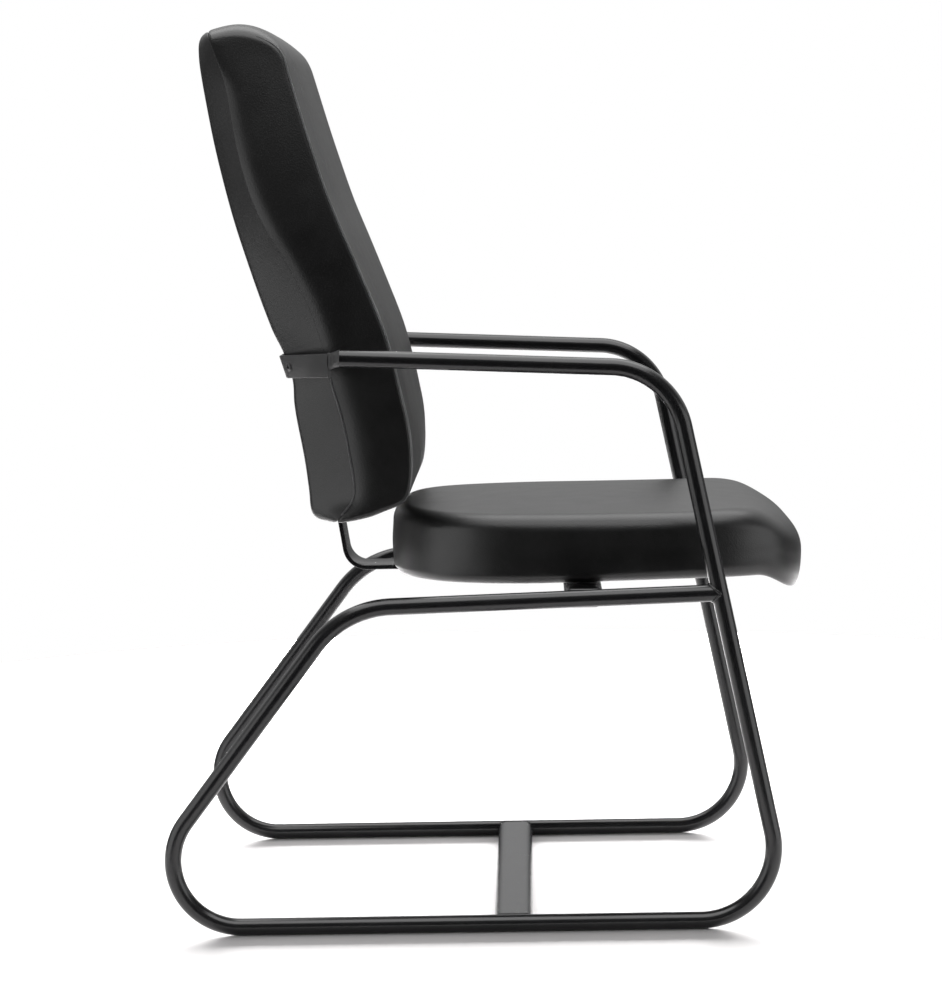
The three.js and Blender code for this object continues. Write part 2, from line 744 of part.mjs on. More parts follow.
function backForm() {
  const halfWidth = backWidth / 2;
  const halfFlat = backRearFlatWidth / 2;
  const edge = backFrontEdgeRadius;
  const turn = halfWidth - halfFlat;
  const side = [
    ...backFlatShares.map((share) => halfFlat * share),
    ...backTurnShares.map((share) => halfFlat + turn * share),
    ...backEdgeShares.map((share) => halfWidth - edge * (1 - share)),
  ];
  const places = [...side.map((y) => -y).reverse(), 0, ...side];
  return toSolid(loft(places.map(backRing), rungFaces));
}

// Everything behind the seam line, drawn past the form; the seam is moved by the gap along X.
function behindSeam(shift) {
  const rows = backSeamShares.slice(1).map(([share]) => share);
  const seam = rows.map((share) => new THREE.Vector2(backX(backSeamShares, share) + shift, backZ(share)));
  const behind = backFrontX - backSweep - cutOverrun;
  const under = backBaseHeight - cutOverrun;
  const outline = [
    new THREE.Vector2(backX(backSeamShares, 0) + shift, under),
    ...seam,
    new THREE.Vector2(behind, backZ(1) + cutOverrun),
    new THREE.Vector2(behind, under),
  ];
  return sidePrism(outline, backWidth);
}

// The back board follows the blade, then the rear outline, at one skin's depth in front of it.
const onBladeAt = (height) => bladeXAt(height) + (bladeThickness / 2 + fitGap) / bladeUpright.y;
function boardRearXAt(height) {
  if (height < bladeTopHeight) return onBladeAt(height);
  const skinAtBlade = onBladeAt(bladeTopHeight) - rearXAt(bladeTopHeight);
  const share = THREE.MathUtils.smoothstep(height, bladeTopHeight, backZ(1));
  return rearXAt(height) + THREE.MathUtils.lerp(skinAtBlade, backBoardSkin, share);
}
const boardFoot = backBaseHeight + backBoardFootGap;
const boardHead = backZ(1) - backBoardHeadGap;
const boardHeights = [
  boardFoot,
  bladeTopHeight,
  ...backRows.map(backZ).filter((height) => height > bladeTopHeight && height < boardHead),
  boardHead,
];

// A block between two distances from the board's rear face, as tall and as tapered as the board.
function alongBoard(from, to, halfWidth, grow = 0) {
  const last = boardHeights.length - 1;
  const rings = boardHeights.map((height, i) => {
    const z = height + (i === last ? grow : 0) - (i === 0 ? grow : 0);
    const [rear, front] = [boardRearXAt(z) + from, boardRearXAt(z) + to];
    const half = halfWidth * taperAt(z);
    return [
      new THREE.Vector3(rear, -half, z),
      new THREE.Vector3(front, -half, z),
      new THREE.Vector3(front, half, z),
      new THREE.Vector3(rear, half, z),
    ];
  });
  return toSolid(loft(rings));
}

const boardDepth = backBoardThickness / bladeUpright.y;
const gapDepth = fitGap / bladeUpright.y;
const boardHalfWidth = backBoardWidth / 2;

function backBoard() {
  const seat = nutSeat(backBoardThickness + fitGap);
  return cut(alongBoard(0, boardDepth, boardHalfWidth), [
    ...bladeBackBoltHeights.map((height) => onBack(seat, height, backBoardFaceOffset)),
    ...sides.map(([, side]) => onBand(seat, bandBoltPlacement(side, bandBoltReach))),
    ...bandHoles(),
  ]);
}

function backRearCover() {
  const boardPocket = alongBoard(-gapDepth, backSweep, boardHalfWidth + fitGap, fitGap);
  const headRoom = rod(boltHeadWidth, headPocketDepth + bladeThickness).translate([0, 0, -headPocketDepth]);
  return cut(backForm().intersect(behindSeam(0)), [
    boardPocket,
    bladeSolid(2 * fitGap, 2 * fitGap),
    ...bladeBackBoltHeights.map((height) => onBack(headRoom, height)),
    ...bandHoles(),
  ]);
}

// Front cushion: what lies before the seam, with foam that fills the cover up to the board's face.
function backCushion() {
  const front = cut(backForm(), [behindSeam(gapDepth)]);
  const fill = alongBoard(boardDepth + gapDepth, backSweep / 2, boardHalfWidth).intersect(backForm());
  const boardRoom = alongBoard(-backSweep, boardDepth + gapDepth, boardHalfWidth + fitGap, fitGap);
  return cut(front.add(fill), [boardRoom, bladeSolid(2 * fitGap, 2 * fitGap)]);
}

// Band: places of its middle line on the right-hand side, from the middle out to the arm
const bandRearXAt = (height) => rearXAt(height) - bandStandoff - bandThickness / 2;
const bandRearWidth = backRearFlatWidth + 2 * bandSideGap;
const bandEndWidth = frameSpacing - 2 * bandEndInset;
const bandLean = bandRearXAt(bandHigh) - bandRearXAt(bandLow);
const bandUpRear = new THREE.Vector3(bandLean, 0, bandHeight).normalize();
const bandCorner = new THREE.Vector3(bandRearXAt(bandMiddleHeight), bandRearWidth / 2, bandMiddleHeight);
const bandEnd = bandCorner.clone().add(
  new THREE.Vector3(bandEndReach, (bandEndWidth - bandRearWidth) / 2, bandEndRise),
);
const bandOut = bandEnd.clone().sub(bandCorner).normalize();

// The arm ends one lug's length before the band, and the frame's whole path starts there.
const armEnd = new THREE.Vector2(bandEnd.x + lugLength, armFrontHeight + armRise);
const framePath = bentPath(
  [armEnd, armCorner, frontCorner, rearCorner, railCorner, railFront],
  [armBendRadius, frontBendRadius, rearBendRadius, railBendRadius],
);


// Upright and facing of the band at one place: it turns from the back's lean to plumb at its end.
function bandAxes(along, lean) {
  const upright = bandUpRear.clone().lerp(up, lean);
  upright.addScaledVector(along, -upright.dot(along)).normalize();
  return { upright, facing: new THREE.Vector3().crossVectors(along, upright) };
}

function bandRing(at, along, lean) {
  const { upright, facing } = bandAxes(along, lean);
  return rectangleSection(bandThickness, bandHeight).map((point) =>
    at.clone().addScaledVector(facing, point.x).addScaledVector(upright, point.y),
  );
}

function rearBand() {
  const across = new THREE.Vector3(0, 1, 0);
  const away = (along, reach) => bandCorner.clone().addScaledVector(along, reach);
  const bend = [away(across, -bandBendReach), away(bandOut, bandBendReach)];
  const middle = bend[0].clone().add(bend[1]).add(bandCorner).divideScalar(3);
  const half = [
    { at: bend[0], along: across, lean: 0 },
    { at: middle, along: across.clone().add(bandOut).normalize(), lean: 0 },
    { at: bend[1], along: bandOut, lean: 0 },
    { at: away(bandOut, bandScrewAlong + panHeadDiameter), along: bandOut, lean: 0 },
    { at: bandEnd, along: bandOut, lean: 1 },
  ];
  const mirror = new THREE.Vector3(1, -1, 1);
  const other = half.map(({ at, along, lean }) => ({
    at: at.clone().multiply(mirror),
    along: along.clone().multiply(mirror).negate(),
    lean,
  }));
  const rings = [...other.reverse(), ...half].map(({ at, along, lean }) => bandRing(at, along, lean));
  return cut(toSolid(loft(rings)), bandHoles());
}

// Places of the screws through the band: their +Z runs from the band's outer face into the back.
function bandPlacement(at, into, depth) {
  const turn = new THREE.Quaternion().setFromUnitVectors(up, into);
  const start = at.clone().addScaledVector(into, depth - bandThickness / 2);
  return new THREE.Matrix4().compose(start, turn, new THREE.Vector3(1, 1, 1));
}
const onBand = (solid, placement) => solid.transform(placement.elements);

function bandScrewPlacement(side) {
  const mirror = new THREE.Vector3(1, side, 1);
  const at = bandCorner.clone().addScaledVector(bandOut, bandScrewAlong);
  const { facing } = bandAxes(bandOut, 0);
  return bandPlacement(at.multiply(mirror), facing.multiply(mirror), 0);
}

function bandBoltPlacement(side, depth = 0) {
  const at = new THREE.Vector3(bandCorner.x, (side * bandBoltSpacing) / 2, bandMiddleHeight);
  return bandPlacement(at, new THREE.Vector3(bandUpRear.z, 0, -bandUpRear.x), depth);
}

// Way from the band's outer face to the front of the board, along a band bolt.
const boardFrontX = boardRearXAt(bandMiddleHeight) + boardDepth;
const bandBoltReach = (boardFrontX - bandCorner.x) * bandUpRear.z + bandThickness / 2 - 2 * fitGap;
const bandBoltLength = bandBoltReach - fitGap;

const holeFor = (diameter, length) =>
  rod(diameter / 2 + fitGap, length + bandThickness + fitGap).translate([0, 0, -bandThickness]);
const bandHoles = () =>
  sides.flatMap(([, side]) => [
    onBand(holeFor(panScrewDiameter, panScrewLength), bandScrewPlacement(side)),
    onBand(holeFor(bandBoltDiameter, bandBoltLength), bandBoltPlacement(side)),
  ]);

// Round-headed screw whose head sits at -Z on its own origin.
function panScrew(diameter, length, headDiameter) {
  const edge = panHeadHeight / 3;
  return turned([
    [0, -panHeadHeight],
    [headDiameter / 4, -panHeadHeight],
    [headDiameter / 2, -edge],
    [headDiameter / 2, 0],
    [diameter / 2, 0],
    [diameter / 2, length],
    [0, length],
  ]);
}
const raised = (solid, gap) => solid.translate([0, 0, -gap]);

// Pressed end of the arm tube: from the round tube to a flat tongue that meets the band's end.
function armLug(side) {
  const mirror = new THREE.Vector3(1, side, 1);
  const armAlong = inPlane(framePath[0].along, 0);
  const armPlace = inPlane(armEnd, frameSpacing / 2).addScaledVector(armAlong, -fitGap);
  const tonguePlace = bandEnd.clone().addScaledVector(bandOut, fitGap);
  tonguePlace.z = (tonguePlace.z + armPlace.z) / 2;
  const ring = (at, along, halfThickness, halfHeight) => {
    const upright = up.clone().addScaledVector(along, -up.dot(along)).normalize();
    const facing = new THREE.Vector3().crossVectors(along, upright);
    return roundSection(1, tubeSides).map(({ x, y }) =>
      at.clone().addScaledVector(facing, x * halfThickness).addScaledVector(upright, y * halfHeight),
    );
  };
  const between = armPlace.clone().lerp(tonguePlace, 1 / 2);
  const turning = armAlong.clone().add(bandOut).normalize();
  const rings = [
    ring(armPlace, armAlong, tubeRadius - fitGap, tubeRadius - fitGap),
    ring(between, turning, (tubeRadius + lugThickness) / 3, (tubeRadius + lugHeight / 2) / 2),
    ring(tonguePlace, bandOut, lugThickness / 2, lugHeight / 2),
  ];
  return toSolid(loft(rings.map((points) => points.map((point) => point.multiply(mirror)))));
}

// The assembly
const chair = new THREE.Group();
function add(name, solid, material) {
  const mesh = new THREE.Mesh(toGeometry(solid), material);
  mesh.name = name;
  chair.add(mesh);
}

sides.forEach(([word, side]) => {
  add(`side_frame_${word}`, sideFrame((side * frameSpacing) / 2), paint);
  add(`arm_lug_${word}`, armLug(side), paint);
});
add("floor_cross_bar", crossBar(floorBarX, tubeRadius, runOf(rearCorner, frontCorner)), paint);
add("seat_cross_bar", crossBar(seatBarX, seatBarHeight, runOf(railCorner, railFront)), paint);
add("seat_mount_plate", mountPlate(), paint);
add("back_blade", blade(), paint);
add("seat_board", seatBoard(), plywood);
add("seat_dust_cover", dustCover(), cloth);
add("seat_cushion", seatCushion(), leather);
add("back_board", backBoard(), plywood);
add("back_cushion", backCushion(), leather);
add("back_rear_cover", backRearCover(), leather);
add("rear_band", rearBand(), paint);

const seatStacks = [
  ...plateBoltPlaces.map((place, i) => [`plate_${i + 1}`, place]),
  ...bladeSeatPlaces.map((place, i) => [`blade_${i + 1}`, place]),
];
seatStacks.forEach(([word, [x, y, z]]) => {
  add(`seat_bolt_${word}`, placedAt(hexBolt(boardHigh - z - fitGap), [x, y, z - fitGap]), steel);
  add(`seat_nut_${word}`, placedAt(flangedNut(boltDiameter), [x, y, boardHigh]), steel);
});
bladeBackBoltHeights.forEach((height, i) => {
  add(`back_bolt_${i + 1}`, onBack(raised(hexBolt(backBoltLength), fitGap), height), steel);
  add(`back_nut_${i + 1}`, onBack(flangedNut(boltDiameter), height, backBoardFaceOffset), steel);
});
sides.forEach(([word, side]) => {
  const screw = raised(panScrew(panScrewDiameter, panScrewLength, panHeadDiameter), 2 * fitGap);
  const bolt = raised(panScrew(bandBoltDiameter, bandBoltLength, bandBoltHeadDiameter), fitGap);
  add(`band_screw_${word}`, onBand(screw, bandScrewPlacement(side)), steel);
  add(`band_bolt_${word}`, onBand(bolt, bandBoltPlacement(side)), steel);
  const nutPlacement = bandBoltPlacement(side, bandBoltReach);
  add(`band_nut_${word}`, onBand(flangedNut(bandBoltDiameter), nutPlacement), steel);
});

// The origin lies under the middle of the chair's box.
const box = new THREE.Box3().setFromObject(chair);
chair.position.x = -(box.min.x + box.max.x) / 2;
const root = new THREE.Group();
root.add(chair);
export default root;
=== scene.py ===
import json
import math

import bmesh
import bpy
import numpy as np
from mathutils import Matrix, Vector
from mathutils.kdtree import KDTree


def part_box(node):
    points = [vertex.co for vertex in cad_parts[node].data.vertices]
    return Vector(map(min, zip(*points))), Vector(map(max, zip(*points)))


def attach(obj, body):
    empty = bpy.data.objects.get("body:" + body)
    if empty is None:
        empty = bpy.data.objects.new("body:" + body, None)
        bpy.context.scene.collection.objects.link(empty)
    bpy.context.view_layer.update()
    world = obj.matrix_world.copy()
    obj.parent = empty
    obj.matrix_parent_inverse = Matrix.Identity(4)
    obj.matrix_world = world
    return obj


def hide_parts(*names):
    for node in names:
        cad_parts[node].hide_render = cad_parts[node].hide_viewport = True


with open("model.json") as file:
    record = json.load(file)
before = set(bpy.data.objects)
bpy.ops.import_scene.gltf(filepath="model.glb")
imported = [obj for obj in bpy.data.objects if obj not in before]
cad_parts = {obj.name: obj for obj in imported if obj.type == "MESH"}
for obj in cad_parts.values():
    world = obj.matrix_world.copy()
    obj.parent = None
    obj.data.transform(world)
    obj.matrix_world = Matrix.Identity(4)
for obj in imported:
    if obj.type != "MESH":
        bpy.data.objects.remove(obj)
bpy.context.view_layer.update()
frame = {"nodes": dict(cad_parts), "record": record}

# Sizes in millimetres, in the part's own side view: x from the rear floor corner, z from the floor
mm = 0.001
tube_radius = 10
frame_spacing = 560
base_length = 803
rear_leg_angle = 37.4
front_leg_angle = 11.5
arm_height = 676
front_corner_height = 657
rail_front_height = 396
rail_angle = 1.5
arm_bend_radius = 88
front_bend_radius = 86
rear_bend_radius = 78
rail_bend_radius = 116

bar_width = 45
bar_height = 20
floor_bar_x = 478
seat_bar_x = 567

plate_length = 190
plate_thickness = 4.75
blade_width = 76
blade_thickness = 5
blade_edge_radius = 0.9
blade_plate_gap = 27
blade_foot_length = 166
blade_angle = 8.9
blade_bend_radius = 27
blade_rise = 233

seat_rear_overhang = 234
seat_length = 510
seat_width = 478
seat_thickness = 82
seat_sag = 3
seat_crown = 9
seat_side_bulge = 1
seat_rear_power = 3
seat_front_power = 4.2
seat_nose_set_back = 6
seat_hang = (4.5, 1)
seat_lip_drop = 24
seat_lip_from = 62
seat_lip_to = 8
# Rolls of the seat pad as (inward, upward), at its sides and at its front
top_roll_side = (20, 20)
top_roll_front = (84, 60)
top_roll_power_front = 1.9
low_roll_side = (17, 12)
low_roll_front = (12, 42)
seat_board_inset = 26
seat_board_front_inset = 95
dust_cover_thickness = 1
dust_cover_inset = 6
dust_cover_pull = 0.25

back_lift = 71
back_height = 589
back_forward = 90
back_sweep = 241
back_width = 450
rear_flat_width = 368
back_rear_power = 1.05
back_crown = (4, 8)
back_crown_power = 6
front_edge_set_back = 3.6
rear_fullness = 3.5
head_fullness = 2
squeeze_reach = 46
blade_clear = 50
front_edge_radius = 6
back_head_roll = (32, 18)
back_foot_roll = (9, 9)
panel_bulge = 1.5
crease_dip = (8, 5)
crease_reach = (50, 28)

band_height = 28
band_thickness = 5
band_edge_radius = 1.1
band_arm_drop = 13
band_end_rise = 4
band_side_gap = 4
band_bend_reach = 6
band_end_reach = 58
band_end_inset = 14
band_standoff = 1.2
lug_length = 13
lug_thickness = 5
lug_height = 19
band_screw_along = 14
band_bolt_spacing = 220
side_screw_head = 10
side_screw_shank = 4
rear_bolt_head = 13
rear_bolt_shank = 6
head_height = 2
head_rim_share = 0.2
head_dome_reach = 0.4 * math.pi
socket_share = 0.36

fit_gap = 0.3
weld_radius = 1.9
lug_weld_radius = 1.2
lug_weld_rise = 0.2
piping_radius = 1.4
piping_rise = 0.2
piping_clear = 55
piping_fade = 10

# Swelling of the pads
seat_swell = 1.5
back_swell = 2
swell_frames = 14
calming_rounds = 60
stitch_reach = 2.5
nose_held = 75

# Outlines of the back seen from the side, as (share of height, share of sweep behind the front)
rear_shares = (
    (0.045, 0.505), (0.125, 0.528), (0.206, 0.562), (0.287, 0.592), (0.369, 0.657), (0.449, 0.726),
    (0.53, 0.79), (0.61, 0.848), (0.69, 0.897), (0.77, 0.94), (0.85, 0.974), (0.93, 0.998), (1, 1),
)
front_shares = (
    (0.045, 0.028), (0.068, 0.011), (0.1, 0), (0.154, 0), (0.198, 0.012), (0.242, 0.035), (0.307, 0.07),
    (0.378, 0.114), (0.468, 0.191), (0.558, 0.274), (0.648, 0.361), (0.737, 0.432), (0.826, 0.498),
    (0.915, 0.558), (1, 0.61),
)
seam_shares = (
    (0, 0.385), (0.016, 0.356), (0.045, 0.3), (0.08, 0.291), (0.128, 0.306), (0.209, 0.341),
    (0.279, 0.388), (0.359, 0.432), (0.409, 0.468), (0.469, 0.53), (0.529, 0.605), (0.589, 0.69),
    (0.649, 0.755), (0.708, 0.8), (0.767, 0.832), (0.826, 0.855), (0.886, 0.882), (0.945, 0.93),
    (1, 0.975),
)
# Ends of the back, as (share of depth from the rear, share of the end's rise or drop)
shoulder_share = 0.93
head_shares = (
    (0, 0), (0.005, 0.54), (0.07, 0.77), (0.26, 0.93), (0.44, 1), (0.62, 0.93), (0.79, 0.72), (0.93, 0.38),
    (1, 0),
)
waist_share = 0.055
foot_shares = (
    (0, 0), (0.004, 0.4), (0.022, 0.72), (0.06, 0.88), (0.15, 0.98), (0.3, 1), (0.59, 0.81),
    (0.765, 0.57), (0.875, 0.42), (0.955, 0.25), (1, 0),
)
# Stretches of the back's height, as (share where something starts, share where it is full)
crown_shares = (0.08, 0.3)
upper_shares = (0.35, 0.6)
fuller_head_shares = (0.8, 1)
dip_start_shares = (-0.05, 0.03)
dip_end_shares = (0.84, 0.95)
taper_shares = ((0, 1), (0.56, 1), (0.7, 0.975), (0.84, 0.93), (0.94, 0.892), (1, 0.88))

# Steps of the meshes
tube_sides = 40
tube_bend_step = 2.5
blade_bend_step = 5
weld_places = 60
lug_weld_places = 36
seat_places = 200
seat_steps = 8
seat_roll_steps = 14
seat_top_steps = 24
lining_places = 160
lining_steps = 24
front_rows = 104
rear_rows = 96
back_rows = 120
flat_steps = 12
turn_steps = 9
edge_steps = 7
panel_steps = 12
crease_rows = 60
piping_sides = 8
halvings = 20
tiny = 1e-9

# Camera, fitted to the photograph, in the same side view
camera_place = (510, -3838, 842.75)
camera_yaw = -0.02031
camera_pitch = 0.0935
camera_roll = -0.01953
camera_focal_px = 3085.9
image_width_px = 942
sensor_width = 36

hands = (("right", -1), ("left", 1))
full_turn = 2 * math.pi


def slope_of(degrees):
    return math.tan(math.radians(degrees))


def v2(x, z):
    return np.array((x, z), float)


def v3(x, y, z):
    return np.array((x, y, z), float)


up = v3(0, 0, 1)


def unit(vector):
    return vector / np.linalg.norm(vector)


def in_plane(point, y):
    return v3(point[0], y, point[1])


def left_of(way):
    """The direction a quarter turn from another, in the side view."""
    return v2(-way[1], way[0])


def smooth_step(value, low, high):
    t = min(max((value - low) / (high - low), 0), 1)
    return t * t * (3 - 2 * t)


def mix(a, b, share):
    return a + (b - a) * share


def bent(value, power):
    """A value raised to a power, with its sign kept."""
    return math.copysign(abs(value) ** power, value)


# The part is centred on its box, and the floor bar's middle says how far that moved it.
bar_low, bar_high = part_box("floor_cross_bar")
shift_x = (bar_low.x + bar_high.x) / 2 / mm - floor_bar_x


def to_frame(points):
    """Points of the side view's system, in millimetres, as metres in the frame."""
    return (np.asarray(points, float) + v3(shift_x, 0, 0)) * mm


def curve_value(table, at):
    """A table of pairs read as a smooth curve."""
    last = len(table) - 1
    found = next((k for k, row in enumerate(table) if row[0] > at), last)
    i = min(max(found - 1, 0), last - 1)

    def slope(k):
        low, high = table[max(k - 1, 0)], table[min(k + 1, last)]
        return (high[1] - low[1]) / (high[0] - low[0])

    span = table[i + 1][0] - table[i][0]
    t = min(max((at - table[i][0]) / span, 0), 1)
    rest = 1 - t
    return (
        table[i][1] * (1 + 2 * t) * rest * rest
        + table[i + 1][1] * t * t * (1 + 2 * rest)
        + slope(i) * span * t * rest * rest
        - slope(i + 1) * span * t * t * rest
    )


def lengths_along(line):
    """How far each place of a line lies from its start, along it."""
    return np.concatenate(((0,), np.cumsum(np.linalg.norm(np.diff(line, axis=0), axis=1))))


def respaced(line, count, closed=False):
    """Evenly spaced places of a line; a closed one ends on its start, which isn't repeated."""
    line = np.array(line)
    lengths = lengths_along(line)
    targets = np.arange(count) / count * lengths[-1] if closed else np.linspace(0, lengths[-1], count)
    return np.stack([np.interp(targets, lengths, line[:, i]) for i in (0, 1)], axis=1)


# Materials
class Tree:
    """A node tree that is being built, of a material or of the world."""

    def __init__(self, owner):
        owner.use_nodes = True
        self.owner = owner
        self.nodes, self.links = owner.node_tree.nodes, owner.node_tree.links
        self.coordinates = self.nodes.new("ShaderNodeTexCoord").outputs

    def wire(self, node, values, linked):
        """Sets a node's constant sockets and links its driven ones."""
        for socket, value in values.items():
            node.inputs[socket].default_value = value
        for socket, source in linked.items():
            self.links.new(source, node.inputs[socket])
        return node

    def add(self, kind, values, linked):
        return self.wire(self.nodes.new("ShaderNode" + kind), values, linked)

    def noise(self, scale, detail, roughness=0.5, place=None):
        values = {"Scale": scale, "Detail": detail, "Roughness": roughness}
        linked = {"Vector": place or self.coordinates["Object"]}
        return self.add("TexNoise", values, linked).outputs["Fac"]

    def cells(self, feature, values):
        node = self.add("TexVoronoi", {}, {"Vector": self.coordinates["Object"]})
        node.feature = feature
        return self.wire(node, values, {}).outputs["Distance"]

    def colour(self, value, dark, light, low=0.3, high=0.7):
        """A colour between two, by a value between a low and a high one."""
        node = self.add("ValToRGB", {}, {"Fac": value})
        for stop, place, shade in zip(node.color_ramp.elements, (low, high), (dark, light)):
            stop.position = place
            stop.color = (*shade, 1)
        return node.outputs["Color"]

    def spread(self, value, low, high):
        return self.add("MapRange", {"To Min": low, "To Max": high}, {"Value": value}).outputs["Result"]

    def bump(self, height, strength, depth, under=None):
        """Relief of a depth in millimetres, over the relief under it."""
        linked = {"Height": height, "Normal": under} if under else {"Height": height}
        return self.add("Bump", {"Strength": strength, "Distance": depth * mm}, linked).outputs["Normal"]

    def finish(self, values, colour, rough=None, normal=None):
        linked = {"Base Color": colour, "Roughness": rough, "Normal": normal}
        linked = {socket: source for socket, source in linked.items() if source}
        self.wire(self.nodes["Principled BSDF"], values, linked)
        return self.owner


def leather_material(name, dark, light):
    """Fine pebbled leatherette: small cells, soft creases and slight unevenness in its shine."""
    tree = Tree(bpy.data.materials.new(name))
    patchy = tree.noise(scale=26, detail=4)
    cells = tree.cells("SMOOTH_F1", {"Scale": 620, "Smoothness": 0.6})
    grain = tree.bump(cells, strength=0.35, depth=0.35)
    pores = tree.bump(tree.noise(scale=900, detail=2), 0.15, 0.2, grain)
    waves = tree.bump(tree.noise(scale=9, detail=2), 0.25, 3, pores)
    return tree.finish({}, tree.colour(patchy, dark, light), tree.spread(patchy, 0.34, 0.42), waves)


def paint_material(name, dark, light, rough):
    """Black powder coat with slight orange peel."""
    tree = Tree(bpy.data.materials.new(name))
    patchy = tree.noise(scale=30, detail=3)
    peel = tree.bump(tree.noise(scale=420, detail=2), strength=0.12, depth=0.15)
    return tree.finish({}, tree.colour(patchy, dark, light), tree.spread(patchy, *rough), peel)


def steel_material():
    """Zinc-plated fasteners, faintly uneven."""
    tree = Tree(bpy.data.materials.new("zinc_plate"))
    patchy = tree.noise(scale=240, detail=4)
    colour = tree.colour(patchy, (0.36, 0.36, 0.38), (0.55, 0.55, 0.57))
    return tree.finish({"Metallic": 1}, colour, tree.spread(patchy, 0.25, 0.42))


def plywood_material():
    """Moulded board with long grain along X and thin plies in its height."""
    tree = Tree(bpy.data.materials.new("plywood_board"))
    stretch = tree.add("Mapping", {"Scale": (6, 90, 500)}, {"Vector": tree.coordinates["Object"]})
    grain = tree.noise(scale=1, detail=6, roughness=0.6, place=stretch.outputs["Vector"])
    colour = tree.colour(grain, (0.36, 0.24, 0.13), (0.62, 0.46, 0.28), 0.35, 0.65)
    return tree.finish({"Roughness": 0.7}, colour, normal=tree.bump(grain, strength=0.2, depth=0.2))


def lining_material():
    """Black non-woven dust cover with its small pressed points."""
    tree = Tree(bpy.data.materials.new("non_woven_lining"))
    fibres = tree.noise(scale=1200, detail=4)
    points = tree.cells("F1", {"Scale": 700, "Randomness": 0.15})
    relief = tree.bump(fibres, 0.4, 0.2, tree.bump(points, strength=0.5, depth=0.3))
    colour = tree.colour(fibres, (0.008, 0.008, 0.009), (0.022, 0.022, 0.024))
    return tree.finish({"Roughness": 0.9}, colour, normal=relief)


def floor_material():
    """Plain pale studio floor."""
    tree = Tree(bpy.data.materials.new("studio_floor"))
    colour = tree.colour(tree.noise(scale=2, detail=2), (0.83, 0.815, 0.815), (0.85, 0.835, 0.835))
    return tree.finish({"Roughness": 0.9, "Specular IOR Level": 0.1}, colour)


leather = leather_material("black_leatherette", (0.0035, 0.0035, 0.0037), (0.0065, 0.0065, 0.0068))
# The crease's seam bead gets a lighter leather colour: a painted highlight for the bright line along the
# crease.
crease_highlight_paint = leather_material("crease_highlight_paint", (0.05, 0.05, 0.052), (0.1, 0.1, 0.103))
# The front edge's seam bead gets a lighter leather colour: a painted highlight for the light line that
# this edge catches.
edge_highlight_paint = leather_material("edge_highlight_paint", (0.13, 0.13, 0.132), (0.21, 0.21, 0.213))
paint = paint_material("black_powder_coat", (0.009, 0.009, 0.01), (0.013, 0.013, 0.014), (0.2, 0.27))
band_paint = paint_material("matt_black_coat", (0.022, 0.022, 0.023), (0.03, 0.03, 0.031), (0.45, 0.55))
dark_steel = paint_material("black_fasteners", (0.018, 0.018, 0.019), (0.028, 0.028, 0.029), (0.4, 0.5))
steel = steel_material()
plywood = plywood_material()
lining = lining_material()


# Mesh helpers
def piece(name, shape, material, stands_for=None, sharp_angle=None):
    """A mesh piece of the object from points in millimetres, riding on the frame."""
    points, faces = shape
    mesh = bpy.data.meshes.new(name)
    mesh.from_pydata(to_frame(points).tolist(), [], [tuple(int(i) for i in face) for face in faces])
    mesh.validate()
    mesh.shade_smooth()
    if sharp_angle:
        mesh.set_sharp_from_angle(angle=math.radians(sharp_angle))
    mesh.materials.append(material)
    made = bpy.data.objects.new(name, mesh)
    bpy.context.scene.collection.objects.link(made)
    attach(made, "root")
    if stands_for:
        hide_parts(stands_for)
    return made


def net(rows, round_about=False):
    """Points and quads of rows of the same size; rings also run from their end to their start."""
    size = len(rows[0])
    points = [point for row in rows for point in row]
    faces = []
    for start in range(0, size * (len(rows) - 1), size):
        for i in range(size if round_about else size - 1):
            a, b = start + i, start + (i + 1) % size
            faces.append((a, b, b + size, a + size))
    return points, faces


def lofted(rings, closed_start=True):
    """Points and faces through rings, with the ends closed about their middles."""
    size = len(rings[0])
    points, faces = net(rings, round_about=True)
    if closed_start:
        points.append(np.mean(rings[0], axis=0))
        faces += [((i + 1) % size, i, len(points) - 1) for i in range(size)]
    points.append(np.mean(rings[-1], axis=0))
    start = (len(rings) - 1) * size
    faces += [(start + i, start + (i + 1) % size, len(points) - 1) for i in range(size)]
    return points, faces


def joined(parts):
    points, faces = [], []
    for more_points, more_faces in parts:
        start = len(points)
        points += list(more_points)
        faces += [tuple(start + i for i in face) for face in more_faces]
    return points, faces


def bent_path(corners, radii, step_angle):
    """Straight runs joined by round bends, as (place, direction of travel)."""
    stations = [(corners[0], unit(corners[1] - corners[0]))]
    for before, corner, after, radius in zip(corners, corners[1:], corners[2:], radii):
        into, out = unit(corner - before), unit(after - corner)
        side = math.copysign(1, into[0] * out[1] - into[1] * out[0])
        turn = math.acos(float(np.dot(into, out)))
        start = corner - into * radius * math.tan(turn / 2)
        centre = start + left_of(into) * side * radius
        steps = math.ceil(turn / math.radians(step_angle))
        for k in range(steps + 1):
            angle = side * turn * k / steps
            c, s = math.cos(angle), math.sin(angle)
            turned = np.array(((c, -s), (s, c)))
            stations.append((centre + turned @ (start - centre), turned @ into))
    stations.append((corners[-1], unit(corners[-1] - corners[-2])))
    return stations


def round_section(radius, sides):
    angles = [full_turn * k / sides for k in range(sides)]
    return [v2(radius * math.cos(a), radius * math.sin(a)) for a in angles]


def rounded_section(thickness, width, radius, steps=4):
    """Outline of a flat bar with rounded corners, about its own middle."""
    points = []
    for index, (u, v) in enumerate(((1, 1), (-1, 1), (-1, -1), (1, -1))):
        centre = v2(u * (thickness / 2 - radius), v * (width / 2 - radius))
        for k in range(steps + 1):
            angle = math.pi / 2 * (index + k / steps)
            points.append(centre + v2(radius * math.cos(angle), radius * math.sin(angle)))
    return points


